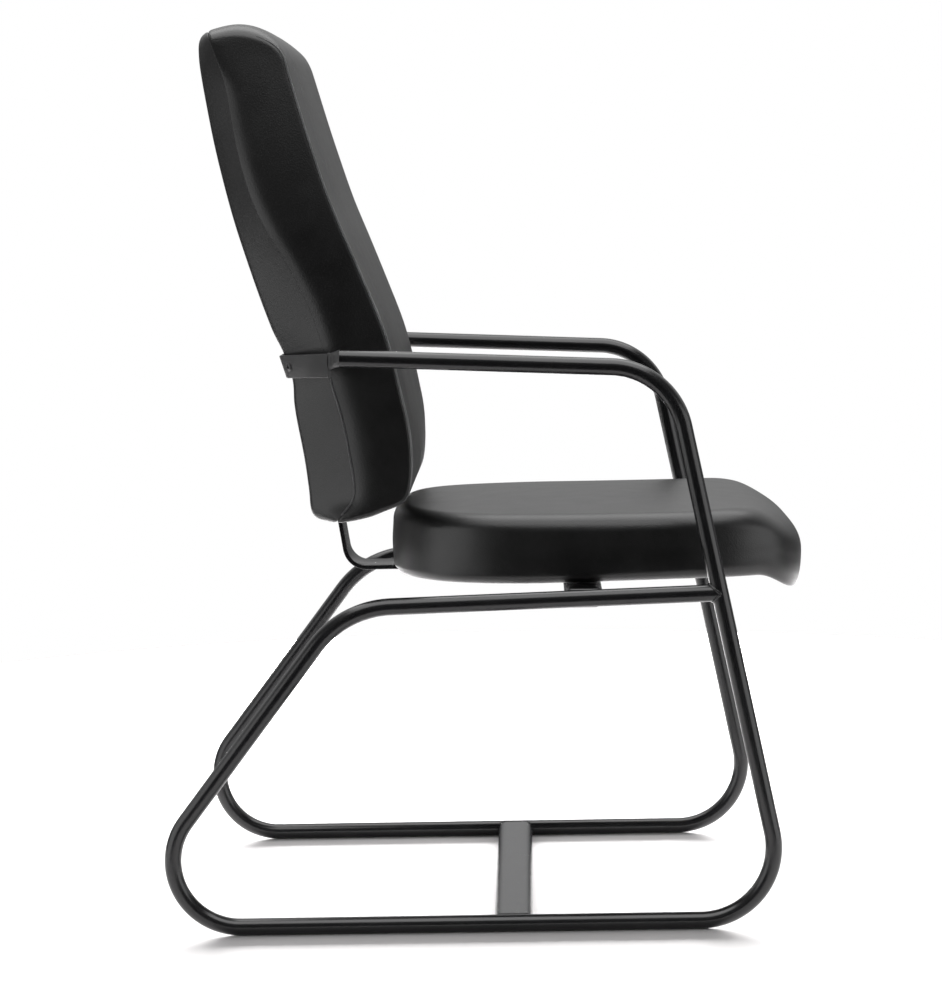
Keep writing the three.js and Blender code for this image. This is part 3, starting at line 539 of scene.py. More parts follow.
def oval_section(width, height, steps=14):
    """Outline of a flat oval tube, about its own middle."""
    points = []
    for end in (1, -1):
        for k in range(steps + 1):
            angle = end * math.pi * (k / steps - 0.5)
            across = end * (width - height) / 2 + end * height / 2 * math.cos(angle)
            points.append(v2(across, height / 2 * math.sin(angle)))
    return points


def side_sweep(stations, section, y=0):
    """A section swept along a path in the side view; its first axis lies in that view."""
    rings = []
    for at, along in stations:
        rings.append([in_plane(at + left_of(along) * u, y + w) for u, w in section])
    return lofted(rings)


def bead(path, radii, loop=True, sides=10):
    """A thin round line through points in space."""
    count = len(path)
    rings = []
    normal = None
    for i in range(count):
        before = path[i - 1] if (loop or i > 0) else path[i]
        after = path[(i + 1) % count] if (loop or i < count - 1) else path[i]
        along = unit(after - before)
        if normal is None:
            helper = up if abs(along[2]) < 0.9 else v3(1, 0, 0)
            normal = unit(np.cross(along, helper))
        normal = unit(normal - along * np.dot(normal, along))
        other = np.cross(along, normal)
        rings.append([path[i] + normal * u + other * w for u, w in round_section(radii[i], sides)])
    if not loop:
        return lofted(rings)
    shift = int(np.argmin([np.linalg.norm(rings[-1][0] - point) for point in rings[0]]))
    points, faces = net(rings, round_about=True)
    start = (count - 1) * sides
    for i in range(sides):
        j = (i + 1) % sides
        faces.append((start + i, start + j, (j + shift) % sides, (i + shift) % sides))
    return points, faces


def weld_ripple(count, radius, ripples=17, height=0.12):
    """Radii along a weld bead, with its ripples."""
    return [radius * (1 + height * math.sin(full_turn * ripples * k / count)) for k in range(count)]


# Side frames: one bent tube each, with the rail's front end welded to the leg
def front_leg_x(height):
    return base_length - slope_of(front_leg_angle) * (height - tube_radius)


rail_front = v2(front_leg_x(rail_front_height), rail_front_height)


def rail_height_at(x):
    return rail_front_height - slope_of(rail_angle) * (rail_front[0] - x)


rear_corner = v2(0, tube_radius)
front_corner = v2(base_length, tube_radius)
arm_corner = v2(front_leg_x(front_corner_height), front_corner_height)
rail_corner_x = (
    slope_of(rear_leg_angle) * (rail_height_at(0) - tube_radius)
    / (1 - slope_of(rear_leg_angle) * slope_of(rail_angle))
)
rail_corner = v2(rail_corner_x, rail_height_at(rail_corner_x))

seat_bar_height = rail_height_at(seat_bar_x)
plate_high = seat_bar_height + bar_height / 2 + fit_gap + plate_thickness
cover_low = plate_high + fit_gap
board_low = cover_low + dust_cover_thickness + fit_gap
blade_front_x = seat_bar_x - plate_length / 2 - blade_plate_gap
blade_heel_x = blade_front_x - blade_foot_length
blade_middle = plate_high - blade_thickness / 2
blade_top = plate_high + blade_rise

# Places on the back
back_base = plate_high + back_lift
back_front_x = blade_heel_x + back_forward
back_half = back_width / 2
flat_half = rear_flat_width / 2


def back_x(table, share):
    return back_front_x - back_sweep * curve_value(table, share)


def back_z(share):
    return back_base + back_height * share


def share_at(height):
    return (height - back_base) / back_height


def seam_x(height):
    return back_x(seam_shares, share_at(height))


# Band places on the left side
band_middle = arm_height - band_arm_drop
band_low = band_middle - band_height / 2
band_top = band_middle + band_height / 2


def band_rear_x(height):
    return back_x(rear_shares, share_at(height)) - band_standoff - band_thickness / 2


band_rear_width = rear_flat_width + 2 * band_side_gap
band_end_width = frame_spacing - 2 * band_end_inset
band_up_rear = unit(v3(band_rear_x(band_top) - band_rear_x(band_low), 0, band_height))
band_corner = v3(band_rear_x(band_middle), band_rear_width / 2, band_middle)
band_end = band_corner + v3(band_end_reach, (band_end_width - band_rear_width) / 2, band_end_rise)
band_out = unit(band_end - band_corner)
arm_end = v2(band_end[0] + lug_length, arm_height)
arm_along = unit(arm_corner - arm_end)


def rail_weld(y):
    """Fillet where the rail's end meets the leg, round both tubes."""
    along = unit(rail_front - rail_corner)
    beside_leg = left_of(unit(arm_corner - front_corner))
    path = []
    for across, over in round_section(tube_radius, weld_places):
        aside = left_of(along) * across
        depth = math.sqrt(max(tube_radius ** 2 - over ** 2, 0))
        back_off = (depth - float(np.dot(aside, beside_leg))) / abs(float(np.dot(along, beside_leg)))
        path.append(in_plane(rail_front - along * back_off + aside, y + over))
    return bead(path, weld_ripple(weld_places, weld_radius))


def side_frame(word, side):
    corners = [arm_end, arm_corner, front_corner, rear_corner, rail_corner, rail_front]
    radii = [arm_bend_radius, front_bend_radius, rear_bend_radius, rail_bend_radius]
    y = side * frame_spacing / 2
    tube = side_sweep(bent_path(corners, radii, tube_bend_step), round_section(tube_radius, tube_sides), y)
    shape = joined([tube, rail_weld(y)])
    piece(f"frame_tube_{word}", shape, paint, f"side_frame_{word}", 60)


def cross_bar(name, x, height, welded_below):
    """Flat oval tube that runs into the frame tubes, with a weld round each end."""
    outline = oval_section(bar_width, bar_height)
    half = frame_spacing / 2 - tube_radius / 2
    rings = [[v3(x + u, y, height + w) for u, w in outline] for y in (-half, half)]
    parts = [lofted(rings)]
    for _, side in hands:
        path = []
        for u, w in oval_section(bar_width, bar_height - weld_radius, 10):
            reach = math.sqrt(max(tube_radius ** 2 - w ** 2, 0))
            path.append(v3(x + u, side * (frame_spacing / 2 - reach), height + w))
        if not welded_below:
            path = [p for p in path if p[2] > height - bar_height / 3]
            path.sort(key=lambda p: p[0])
        parts.append(bead(path, weld_ripple(len(path), weld_radius), welded_below))
    piece(f"{name}_tube", joined(parts), paint, name, 50)


def blade():
    """One bar: level under the seat, one bend, then up behind the back board."""
    top_x = blade_heel_x - slope_of(blade_angle) * (blade_top - blade_middle)
    corners = [v2(blade_front_x, blade_middle), v2(blade_heel_x, blade_middle), v2(top_x, blade_top)]
    section = rounded_section(blade_thickness, blade_width, blade_edge_radius)
    shape = side_sweep(bent_path(corners, [blade_bend_radius], blade_bend_step), section)
    piece("blade_bar", shape, paint, "back_blade", 40)


# Band behind the back
def band_axes(along, lean):
    upright = mix(band_up_rear, up, lean)
    upright = unit(upright - along * np.dot(upright, along))
    return upright, np.cross(along, upright)


def band_stations(steps=10):
    """Places along the band as (place, direction, lean), from its right end to its left one."""
    across = v3(0, 1, 0)
    start = band_corner - across * band_bend_reach
    finish = band_corner + band_out * band_bend_reach
    half = [(v3(band_corner[0], y, band_middle), across, 0) for y in (0, start[1] / 2)]
    for k in range(steps + 1):
        t = k / steps
        at = start * (1 - t) ** 2 + band_corner * 2 * t * (1 - t) + finish * t * t
        half.append((at, unit(mix(across, band_out, t)), 0))
    twist_from = band_corner + band_out * (band_screw_along + side_screw_head)
    for k in range(steps + 1):
        t = k / steps
        half.append((mix(twist_from, band_end, t), band_out, smooth_step(t, 0, 1)))
    mirror = v3(1, -1, 1)
    other = [(at * mirror, -along * mirror, lean) for at, along, lean in half[:0:-1]]
    return other + half


def rear_band():
    section = rounded_section(band_thickness, band_height, band_edge_radius)
    rings = []
    for at, along, lean in band_stations():
        upright, facing = band_axes(along, lean)
        rings.append([at + facing * u + upright * w for u, w in section])
    piece("band_bar", lofted(rings), band_paint, "rear_band", 40)


def arm_lug(word, side, steps=12, pressed_at=0.75, flatness=0.62):
    """The arm's tube end pressed flat, and welded to the band's end."""
    mirror = v3(1, side, 1)
    start = in_plane(arm_end, frame_spacing / 2)
    tongue = v3(band_end[0], band_end[1], (band_end[2] + start[2]) / 2)
    rings = []
    for k in range(steps + 1):
        t = k / steps
        pressed = smooth_step(t, 0, pressed_at)
        along = unit(mix(in_plane(arm_along, 0), band_out, t))
        upright = unit(up - along * along[2])
        thick = np.cross(along, upright) * mix(tube_radius, lug_thickness / 2, pressed)
        tall = upright * mix(tube_radius, lug_height / 2, pressed)
        power = mix(1, flatness, pressed)
        at = mix(start, tongue, t)
        section = round_section(1, tube_sides)
        rings.append([(at + thick * bent(u, power) + tall * bent(w, power)) * mirror for u, w in section])
    thick = np.cross(band_out, up) * (lug_thickness / 2 + lug_weld_rise)
    tall = up * lug_height / 2
    seam = [(tongue + tall * u + thick * w) * mirror for u, w in round_section(1, lug_weld_places)]
    shape = joined([lofted(rings), bead(seam, weld_ripple(lug_weld_places, lug_weld_radius))])
    piece(f"arm_end_{word}", shape, band_paint, f"arm_lug_{word}", 60)


def socket_head(diameter, shank, sides=48, dome_steps=6):
    """A domed head with a hexagonal socket, about +Z; the head lies on the -Z side."""
    rim = head_height * head_rim_share
    rows = [(shank / 2, head_height + rim), (shank / 2, 0), (diameter / 2, 0), (diameter / 2, -rim)]
    for k in range(1, dome_steps + 1):
        a = k / dome_steps * head_dome_reach
        domed = mix(rim, head_height, math.sin(a) / math.sin(head_dome_reach))
        rows.append((diameter / 2 * math.cos(a), -domed))
    rings = [[v3(x, y, z) for x, y in round_section(radius, sides)] for radius, z in rows]
    for scale, depth in ((1.12, 1), (1, 0.93), (0.98, 0.3)):
        ring = []
        for k, (x, y) in enumerate(round_section(socket_share * diameter * scale / 2, sides)):
            beside_flat = (full_turn * k / sides + math.pi / 6) % (math.pi / 3) - math.pi / 6
            ring.append(v3(x, y, 0) / math.cos(beside_flat) - up * head_height * depth)
        rings.append(ring)
    return lofted(rings)


def placed(shape, at, into):
    """A shape about +Z turned to a direction and set at a place."""
    turn = Vector((0, 0, 1)).rotation_difference(Vector(into)).to_matrix()
    points, faces = shape
    return [np.array(turn @ Vector(p)) + at for p in points], faces


def band_fasteners(word, side):
    """The screw through a side of the band, and the bolt through its rear."""
    mirror = v3(1, side, 1)
    facing = band_axes(band_out, 0)[1]
    at = (band_corner + band_out * band_screw_along - facing * band_thickness / 2) * mirror
    shape = placed(socket_head(side_screw_head, side_screw_shank), at, facing * mirror)
    piece(f"side_screw_{word}", shape, dark_steel, f"band_screw_{word}", 40)
    inward = v3(band_up_rear[2], 0, -band_up_rear[0])
    at = v3(band_corner[0], side * band_bolt_spacing / 2, band_middle) - inward * band_thickness / 2
    shape = placed(socket_head(rear_bolt_head, rear_bolt_shank), at, inward)
    piece(f"rear_bolt_{word}", shape, dark_steel, f"band_bolt_{word}", 40)


# Seat cushion
def plan_outline(rear, front, width, count, fineness=24):
    """Plan outline with straight flanks and rounded ends, evenly spaced."""
    middle = (rear + front) / 2
    around = []
    for k in range(fineness * count):
        angle = k / (fineness * count) * 2 * math.pi
        c, s = math.cos(angle), math.sin(angle)
        power = 2 / (seat_front_power if c > 0 else seat_rear_power)
        around.append(v2(middle + bent(c, power) * (front - rear) / 2, bent(s, power) * width / 2))
    return respaced(around + around[:1], count, closed=True)


def outward_normals(outline):
    along = np.roll(outline, -1, axis=0) - np.roll(outline, 1, axis=0)
    normals = np.stack((along[:, 1], -along[:, 0]), axis=1)
    return normals / np.linalg.norm(normals, axis=1)[:, None]


seat_rear_x = seat_bar_x - seat_rear_overhang
seat_front_x = seat_rear_x + seat_length
seat_nose_x = seat_front_x - seat_nose_set_back
seat_middle_x = (seat_rear_x + seat_nose_x) / 2
seat_high = cover_low + seat_thickness
swell_room = seat_swell


def seat_top_at(x):
    full = 1 - ((x - seat_middle_x) / (seat_nose_x - seat_middle_x)) ** 2
    behind_nose = 1 - smooth_step(x, seat_nose_x - 2 * nose_held, seat_nose_x - nose_held)
    return seat_high - swell_room * behind_nose - seat_sag * full


def seat_underside_at(x):
    """Lowest place of the pad's edge: it hangs a little at the rear and drops to a lip at the front."""
    forward = smooth_step(x, seat_rear_x + seat_length / 4, seat_nose_x - seat_length / 6)
    lip = smooth_step(x, seat_nose_x - seat_lip_from, seat_nose_x - seat_lip_to)
    return cover_low - mix(*seat_hang, forward) - seat_lip_drop * lip


def seat_form():
    """Rings of the seat pad from under its board, round its edge and over its top.

    Each place moves along its own line to the middle, so rings never cross."""
    inset = seat_side_bulge + swell_room
    width = seat_width - 2 * inset
    outline = plan_outline(seat_rear_x + inset, seat_nose_x - seat_side_bulge, width, seat_places)
    normals = outward_normals(outline)
    fronts = [max(n[0], 0) ** 2 for n in normals]
    ways = [unit(v2(seat_middle_x, 0) - point) for point in outline]
    leans = [max(-float(np.dot(way, n)), 0.5) for way, n in zip(ways, normals)]
    under_side = seat_board_inset + dust_cover_inset / 2
    under_front = seat_board_front_inset - dust_cover_inset
    inside_height = board_low + 2 * dust_cover_thickness

    def ring(inward, height):
        """A ring by two rules, which get how far a place faces forward: how far in, and how high."""
        made = []
        for point, way, lean, front in zip(outline, ways, leans, fronts):
            x, y = point + way * inward(front) / lean
            made.append(v3(x, y, height(x, front)))
        return made

    def under(front):
        return mix(under_side, under_front, front)

    def low_roll(axis, front):
        return mix(low_roll_side[axis], low_roll_front[axis], math.sqrt(front))

    def low_ring(angle):
        return ring(
            lambda front: low_roll(0, front) * (1 - math.sin(angle)),
            lambda x, front: seat_underside_at(x) + low_roll(1, front) * (1 - math.cos(angle)),
        )

    def top_roll(axis, front, turned):
        rounded = 1 - turned ** (2 / mix(2, top_roll_power_front, front))
        return mix(top_roll_side[axis], top_roll_front[axis], front) * rounded

    def top_ring(angle):
        return ring(
            lambda front: top_roll(0, front, math.cos(angle)),
            lambda x, front: seat_top_at(x) - top_roll(1, front, math.sin(angle)),
        )

    rings = [
        ring(lambda front: under(front) + dust_cover_inset, lambda x, front: inside_height),
        ring(under, lambda x, front: cover_low + fit_gap),
    ]
    for t in np.arange(1, seat_steps) / seat_steps:
        rings.append(ring(
            lambda front: mix(under(front), low_roll(0, front), t),
            lambda x, front: seat_underside_at(x) + seat_hang[0] * (1 - smooth_step(t, 0, 1)),
        ))
    rings += [low_ring(k / seat_steps * math.pi / 2) for k in range(seat_steps + 1)]
    low, high = rings[-1], top_ring(0)
    for t in np.arange(1, seat_steps) / seat_steps:
        bulge = seat_side_bulge * math.sin(math.pi * t) ** 2
        rings.append([
            mix(a, b, t) + v3(n[0], n[1], 0) * bulge * (1 - front)
            for a, b, n, front in zip(low, high, normals, fronts)
        ])
    rings += [top_ring(k / seat_roll_steps * math.pi / 2) for k in range(seat_roll_steps + 1)]
    shoulder = rings[-1]
    for share in np.arange(1, seat_top_steps) / seat_top_steps:
        top = [mix(point, v3(seat_middle_x, 0, 0), share) for point in shoulder]
        crown = seat_crown * (1 - (1 - share) ** 2)
        rings.append([v3(x, y, seat_top_at(x) + crown) for x, y, _ in top])
    return rings


def seat_cushion():
    made = piece("seat_pad", lofted(seat_form()), leather, "seat_cushion")
    return made


def dust_cover(wave=0.9, middle_share=0.05):
    """Non-woven sheet stapled under the seat board, pulled a little between its staples."""
    inset = seat_board_inset + dust_cover_inset
    front = seat_front_x - seat_board_front_inset - dust_cover_inset
    outline = plan_outline(seat_rear_x + inset, front, seat_width - 2 * inset, lining_places)
    centre = outline.mean(axis=0)
    rings = []
    for share in np.linspace(1, middle_share, lining_steps):
        ring = []
        for k, point in enumerate(outline):
            x, y = mix(centre, point, share)
            pull = dust_cover_pull * math.sin(k * wave) * share ** 8
            ring.append(v3(x, y, cover_low + dust_cover_thickness * (0.5 + pull)))
        rings.append(ring)
    shape = lofted(rings, closed_start=False)
    made = piece("seat_lining", shape, lining, "seat_dust_cover")
    x, y = outline[:, 0], outline[:, 1]


# Back
def fine_line(table, parts=8):
    """A closed end's table as a smooth line from its rear to its front."""
    pairs = np.array(table, float)
    lengths = lengths_along(pairs)
    targets = np.linspace(0, lengths[-1], parts * (len(table) - 1) + 1)
    columns = [[curve_value(list(zip(lengths, pairs[:, i])), t) for t in targets] for i in (0, 1)]
    return list(zip(*columns))


row_shares = np.linspace(waist_share, shoulder_share, back_rows)
head_line = fine_line(head_shares)
foot_line = fine_line(foot_shares)


def back_ring(y):
    """The back's outline in the side view at one place across, as its front and rear halves.

    Each half runs from the seam at the foot to the seam at the head."""
    reach = abs(y)
    turned = min(max((reach - flat_half) / (back_half - flat_half), 0), 1) ** back_rear_power

    def rounding(inward, down):
        """How far an edge with this roll has come down at this place across."""
        into = max(reach - (back_half - inward), 0) / inward
        return down * (1 - math.sqrt(max(1 - into * into, 0)))

    pillow = 1 - (reach / back_half) ** back_crown_power
    beside_blade = smooth_step(reach, blade_clear, 2 * blade_clear)
    front_inset = rounding(front_edge_radius, front_edge_radius)
    head_rise = back_height * (1 - shoulder_share) - rounding(*back_head_roll)
    foot_drop = rounding(*back_foot_roll) - back_height * waist_share

    def folded(point):
        return v2(point[0] + max(seam_x(point[1]) - point[0], 0) * turned, point[1])

    def front(share):
        upper = smooth_step(share, *upper_shares)
        risen = mix(*back_crown, upper) * pillow
        risen *= smooth_step(share, *crown_shares)
        return back_x(front_shares, share) + risen - front_inset - front_edge_set_back * upper

    def rear(share):
        """The rear outline, fuller than the board where neither band nor blade holds it in."""
        free = smooth_step(abs(back_z(share) - band_middle), band_height / 2, squeeze_reach)
        fuller = rear_fullness + head_fullness * smooth_step(share, *fuller_head_shares)
        return back_x(rear_shares, share) - fuller * free * beside_blade

    def end(share, rise, line):
        from_x, to_x = rear(share), front(share)
        return [v2(mix(from_x, to_x, across), back_z(share) + rise * part) for across, part in line]

    def before_seam(point):
        return point[0] >= seam_x(point[1])

    def parted(points):
        """A run that starts behind the seam, as its places behind it and before it."""
        split = next(k for k, point in enumerate(points) if k > 0 and before_seam(point))
        low, high = 0, 1
        for _ in range(halvings):
            middle = (low + high) / 2
            inside = before_seam(mix(points[split - 1], points[split], middle))
            low, high = (low, middle) if inside else (middle, high)
        crossing = mix(points[split - 1], points[split], high)
        return points[:split] + [crossing], [crossing] + points[split:]

    head_behind, head_before = parted(end(shoulder_share, head_rise, head_line))
    foot_behind, foot_before = parted(end(waist_share, foot_drop, foot_line))
    inner = row_shares[1:-1]
    rear_rise = [v2(rear(s), back_z(s)) for s in inner]
    rear_half = [folded(p) for p in foot_behind[::-1] + rear_rise + head_behind]
    front_half = foot_before + [v2(front(s), back_z(s)) for s in inner] + head_before[::-1]
    return respaced(front_half, front_rows), respaced(rear_half, rear_rows)


def across_places():
    """Places across the back, from its right side to its left one, close together where it turns."""
    edge = back_half - front_edge_radius
    side = [flat_half * k / flat_steps for k in range(1, flat_steps + 1)]
    side += [mix(flat_half, edge, k / turn_steps) for k in range(1, turn_steps + 1)]
    angles = [math.pi / 2 * k / edge_steps for k in range(1, edge_steps + 1)]
    side += [edge + front_edge_radius * math.sin(a) for a in angles]
    return [-y for y in side[::-1]] + [0] + side


def tapered(point, y):
    """A place of the back across its width, drawn in a little where the rear cover nears the crease."""
    share = share_at(point[1])
    near = min(max((abs(y) - flat_half) / (back_half - flat_half), 0), 1)
    above = smooth_step(point[1], band_low, band_top)
    ahead = (point[0] - seam_x(point[1])) / mix(*crease_reach, above)
    dip = mix(*crease_dip, above)
    dip *= smooth_step(share, *dip_start_shares) * (1 - smooth_step(share, *dip_end_shares))
    drawn = dip * near * max(1 - max(ahead, 0), 0) ** 3
    return v3(point[0], y * curve_value(taper_shares, share) - math.copysign(drawn, y), point[1])


def seam_line(half):
    """The seam in the side view between the ends of one half's line, with as many places."""
    foot, head = half[0][1], half[-1][1]
    heights = [mix(foot, head, k / (len(half) - 1)) for k in range(len(half))]
    return [half[0]] + [v2(seam_x(z), z) for z in heights[1:-1]] + [half[-1]]


def skin_and_sheet(halves, places):
    """The outside of one half of the back, and the hidden sheet along the seam that closes it."""
    skin = [[tapered(p, y) for p in half] for half, y in zip(halves, places)]
    sheet = [[tapered(p, y) for p in seam_line(half)] for half, y in zip(halves, places)]
    return skin, sheet


def side_panel(half, y):
    """The flat side of the front half, between its front edge and the seam."""
    columns = []
    for k in range(panel_steps + 1):
        s = k / panel_steps
        column = []
        for j, (edge, seam) in enumerate(zip(half, seam_line(half))):
            t = j / (front_rows - 1)
            out = panel_bulge * 4 * s * (1 - s) * min(1, 4 * t * (1 - t)) ** 0.5
            column.append(tapered(mix(edge, seam, s), y) + v3(0, math.copysign(out, y), 0))
        columns.append(column)
    return net(columns)


def welded(made, distance=0.02):
    """Joins vertices that lie on each other and drops faces without area."""
    soup = bmesh.new()
    soup.from_mesh(made.data)
    bmesh.ops.remove_doubles(soup, verts=soup.verts, dist=distance * mm)
    bmesh.ops.dissolve_degenerate(soup, dist=distance * mm / 2, edges=soup.edges)
    bmesh.ops.recalc_face_normals(soup, faces=soup.faces)
    soup.to_mesh(made.data)
    soup.free()
    made.data.shade_smooth()


def back_pieces():
    places = across_places()
    fronts, rears = zip(*(back_ring(y) for y in places))
    skin, sheet = skin_and_sheet(fronts, places)
    panels = [side_panel(fronts[edge], places[edge]) for edge in (0, -1)]
    shape = joined([net(skin), net(sheet), *panels])
    front = piece("back_pad", shape, leather, "back_cushion")
    welded(front)

    skin, sheet = skin_and_sheet(rears, places)
    sheet[0], sheet[-1] = skin[0], skin[-1]
    rear = piece("back_cover", joined([net(skin), net(sheet)]), leather, "back_rear_cover")
    welded(rear)
    return front, rear


def front_edge_line(side):
    """The sewn front edge of the back on one side, from the foot's seam to the head's."""
    corner = back_half - front_edge_radius * (1 - math.sqrt(0.5))
    return [tapered(p, side * corner) for p in back_ring(corner)[0]]


def crease_line(side, high):
    """The seam where the rear cover meets a side panel, from the foot up to a height."""
    heights = np.linspace(back_ring(back_half)[0][0][1], high, crease_rows)
    return [tapered(v2(seam_x(z), z), side * back_half) for z in heights]


def front_piping(word, side):
    """A thin seam on a front edge of the back, which runs out at the head and at the foot."""
    line = [p for p in front_edge_line(side) if p[0] > seam_x(p[2]) + piping_clear]
    path = [p + v3(1, side, 0) * piping_rise for p in line]
    count = len(path)
    radii = [piping_radius * min(1, piping_fade * min(k + 1, count - k) / count) for k in range(count)]
    # The bead's lighter colour is a painted highlight along the front edge.
    piece(f"front_edge_seam_{word}", bead(path, radii, False, piping_sides), edge_highlight_paint)


def crease_piping(word, side):
    """The seam bead of a crease, which shows below the band."""
    path = [p + v3(0, side * piping_rise, 0) for p in crease_line(side, band_low)]
    shape = bead(path, [piping_radius] * len(path), False, piping_sides)
    # The bead's lighter colour is a painted highlight along the crease.
    piece(f"crease_seam_{word}", shape, crease_highlight_paint)


# Cloth simulation: each pad swells a little between its stitched edges and what holds it.
cloth_settings = {
    "quality": 5, "mass": 0.35, "tension_stiffness": 25, "compression_stiffness": 25,
    "shear_stiffness": 12, "bending_stiffness": 3, "use_pressure": True, "uniform_pressure_force": 4,
}


def swollen(made, held):
    """How far each vertex moves when the pad swells, where the test doesn't hold it."""
    rest = np.array([v.co for v in made.data.vertices])
    places = rest / mm - v3(shift_x, 0, 0)
    group = made.vertex_groups.new(name="pinned")
    group.add([i for i, place in enumerate(places) if held(place)], 1, "REPLACE")
    cloth = made.modifiers.new("swelling", "CLOTH")
    for name, value in cloth_settings.items():
        setattr(cloth.settings, name, value)
    cloth.settings.vertex_group_mass = group.name
    cloth.settings.effector_weights.gravity = 0
    cloth.collision_settings.use_collision = False
    cloth.point_cache.frame_start = 1
    cloth.point_cache.frame_end = swell_frames
    for step in range(1, swell_frames + 1):
        bpy.context.scene.frame_set(step)
    seen = made.evaluated_get(bpy.context.evaluated_depsgraph_get())
    moved = np.array([v.co for v in seen.data.vertices]) - rest
    made.modifiers.remove(cloth)
    made.vertex_groups.remove(group)
    bpy.context.scene.frame_set(1)
    return moved


def calmed(moves, mesh, free):
    """Moves averaged between neighbours, so that small wrinkles go and the broad swelling stays."""
    pairs = np.array([edge.vertices[:] for edge in mesh.edges])
    ends = np.concatenate((pairs[:, 0], pairs[:, 1]))
    others = np.concatenate((pairs[:, 1], pairs[:, 0]))
    counts = np.bincount(ends, minlength=len(moves))[:, None]
    for _ in range(calming_rounds):
        sums = np.stack([np.bincount(ends, moves[others, i], len(moves)) for i in range(3)], axis=1)
        moves = (moves + sums / np.maximum(counts, 1)) / 2 * free[:, None]
    return moves


def puff(made, held, limit):
    """Swells a pad, with no place moved past the limit, and makes its surface smoother."""
    mesh = made.data
    rest = np.array([v.co for v in mesh.vertices])
    moved = swollen(made, held)
    lengths = np.linalg.norm(moved, axis=1)[:, None]
    most = limit * mm
    eased = moved * np.where(lengths > 0, most * np.tanh(lengths / most) / np.maximum(lengths, tiny), 1)
    eased = calmed(eased, mesh, lengths[:, 0] > 0)
    mesh.vertices.foreach_set("co", (rest + eased).ravel())
    mesh.update()
    smooth = made.modifiers.new("subdivision", "SUBSURF")
    smooth.levels = 1
    smooth.render_levels = 1


def seat_held(place):
    """The seat's cover is pulled tight over its nose and round its lower edge to the board's staples."""
    return place[0] > seat_nose_x - nose_held or place[2] < seat_underside_at(place[0]) + low_roll_side[1]


def at_seam(place):
    return abs(place[0] - seam_x(place[2])) < stitch_reach


def front_held():
    """The front half is sewn along its front edges and along the crease."""
    edges = front_edge_line(-1) + front_edge_line(1)
    tree = KDTree(len(edges))
    for k, place in enumerate(edges):
        tree.insert(place, k)
    tree.balance()
    return lambda place: at_seam(place) or tree.find(place)[2] < stitch_reach


def cover_held(place):
    """The rear cover is tight round the board's sides, and the band and the blade press it in."""
    at_side = abs(place[1]) > flat_half - band_height
    at_band = abs(place[2] - band_middle) < band_height
    at_blade = abs(place[1]) < blade_width and place[2] < blade_top + blade_width / 2
    return at_side or at_seam(place) or at_band or at_blade


# Studio in metres: floor, soft lights, surroundings and camera
floor_reach = 1.6
floor_behind = 0.7
floor_sides = 96
# Brightness of the surroundings by height and by depth, as (direction from -1 to 1, brightness)
room_by_height = ((0, 0.2), (0.1, 0.3), (0.35, 1.3), (1, 1.3))
room_by_depth = ((-0.5, 0.12), (-0.1, 0.18), (0.35, 1))


def studio_floor():
    """A round floor; past its edge the white backdrop shows."""
    mesh = bpy.data.meshes.new("floor")
    rim = [(x, floor_behind + y, 0) for x, y in round_section(floor_reach, floor_sides)]
    mesh.from_pydata(rim, [], [tuple(range(floor_sides))])
    mesh.materials.append(floor_material())
    made = bpy.data.objects.new("floor", mesh)
    bpy.context.scene.collection.objects.link(made)


def soft_light(name, place, aim, size, power, mirrored=True, lights_surfaces=True):
    """A soft lamp, which may be kept out of reflections or from lighting surfaces directly."""
    lamp = bpy.data.lights.new(name, "AREA")
    lamp.shape = "RECTANGLE"
    lamp.size, lamp.size_y = size
    lamp.energy = power
    made = bpy.data.objects.new(name, lamp)
    made.location = place
    made.rotation_euler = (Vector(aim) - Vector(place)).to_track_quat("-Z", "Y").to_euler()
    made.visible_camera = False
    made.visible_glossy = mirrored
    made.visible_diffuse = lights_surfaces
    bpy.context.scene.collection.objects.link(made)


def studio_lights():
    """A top lamp for the gloss, a lamp behind for the floor's shadows, and one at each end."""
    knee = (0, 0, 0.5)
    soft_light("top_softbox", (0, -0.6, 3.2), (0, -0.6, 0), (3.6, 4.6), 180, lights_surfaces=False)
    soft_light("floor_softbox", (0, 4.2, 1.1), (0, 0, 0), (5, 1.4), 1500, mirrored=False)
    soft_light("front_softbox", (2.4, -1.2, 0.5), knee, (2.4, 1.8), 25)
    soft_light("rear_softbox", (-2.4, -1.2, 0.5), knee, (2.4, 1.8), 24)


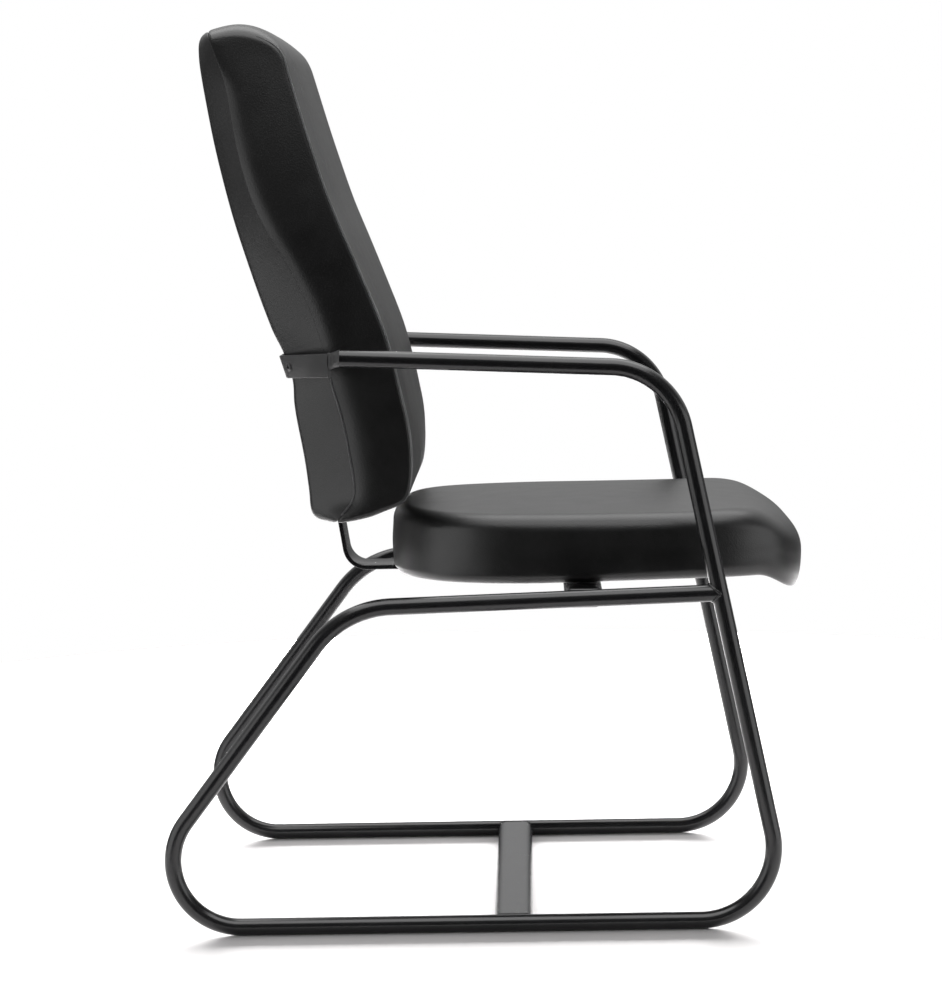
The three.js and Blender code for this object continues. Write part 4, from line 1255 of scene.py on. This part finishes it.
def surroundings():
    """A pale backdrop behind, a darker room above it and towards the camera, and white in view."""
    world = bpy.data.worlds.new("studio")
    bpy.context.scene.world = world
    tree = Tree(world)
    direction = tree.add("SeparateXYZ", {}, {"Vector": tree.coordinates["Generated"]}).outputs

    def shade(axis, stops):
        """Brightness along one axis of the direction."""
        scaled = tree.add("MapRange", {"From Min": -1}, {"Value": direction[axis]}).outputs["Result"]
        node = tree.add("ValToRGB", {}, {"Fac": scaled})
        elements = node.color_ramp.elements
        while len(elements) < len(stops):
            elements.new(0.5)
        for element, (place, value) in zip(elements, stops):
            element.position = (place + 1) / 2
            element.color = (value, value, value, 1)
        return node.outputs["Color"]

    both = tree.add("Math", {}, {0: shade("Z", room_by_height), 1: shade("Y", room_by_depth)})
    both.operation = "MULTIPLY"
    room = tree.add("Background", {}, {"Strength": both.outputs["Value"]})
    shown = tree.wire(tree.nodes["Background"], {"Color": (1, 1, 1, 1)}, {})
    seen = tree.add("LightPath", {}, {}).outputs["Is Camera Ray"]
    linked = {"Fac": seen, 1: room.outputs["Background"], 2: shown.outputs["Background"]}
    choice = tree.add("MixShader", {}, linked)
    tree.wire(tree.nodes["World Output"], {}, {"Surface": choice.outputs["Shader"]})


def photo_camera():
    forward = Vector((
        math.sin(camera_yaw) * math.cos(camera_pitch),
        math.cos(camera_yaw) * math.cos(camera_pitch),
        -math.sin(camera_pitch),
    ))
    level = Vector((math.cos(camera_yaw), -math.sin(camera_yaw), 0))
    upright = level.cross(forward)
    c, s = math.cos(camera_roll), math.sin(camera_roll)
    turn = Matrix((level * c + upright * s, upright * c - level * s, -forward)).transposed()
    lens = bpy.data.cameras.new("photo_camera")
    lens.sensor_fit = "HORIZONTAL"
    lens.sensor_width = sensor_width
    lens.lens = camera_focal_px / image_width_px * sensor_width
    made = bpy.data.objects.new("photo_camera", lens)
    made.matrix_world = Matrix.LocRotScale(Vector(to_frame(camera_place)), turn, None)
    bpy.context.scene.collection.objects.link(made)
    bpy.context.scene.camera = made


def finish_cad_parts():
    """The carried-over parts keep their shapes and take the finished materials."""
    finishes = {"plywood": plywood, "steel": steel, "paint": paint, "dark_steel": dark_steel}
    for subpart in frame["record"]["subparts"]:
        if subpart["material_slot"] in finishes:
            materials = frame["nodes"][subpart["node"]].data.materials
            materials.clear()
            materials.append(finishes[subpart["material_slot"]])


finish_cad_parts()
cross_bar("floor_cross_bar", floor_bar_x, tube_radius, False)
cross_bar("seat_cross_bar", seat_bar_x, seat_bar_height, True)
blade()
rear_band()
for word, side in hands:
    side_frame(word, side)
    arm_lug(word, side)
    band_fasteners(word, side)
    front_piping(word, side)
    crease_piping(word, side)
seat_pad = seat_cushion()
back_pad, back_cover = back_pieces()
dust_cover()

puff(seat_pad, seat_held, seat_swell)
puff(back_pad, front_held(), back_swell)
puff(back_cover, cover_held, back_swell)

studio_floor()
studio_lights()
surroundings()
photo_camera()
bpy.context.scene.view_settings.view_transform = "Standard"
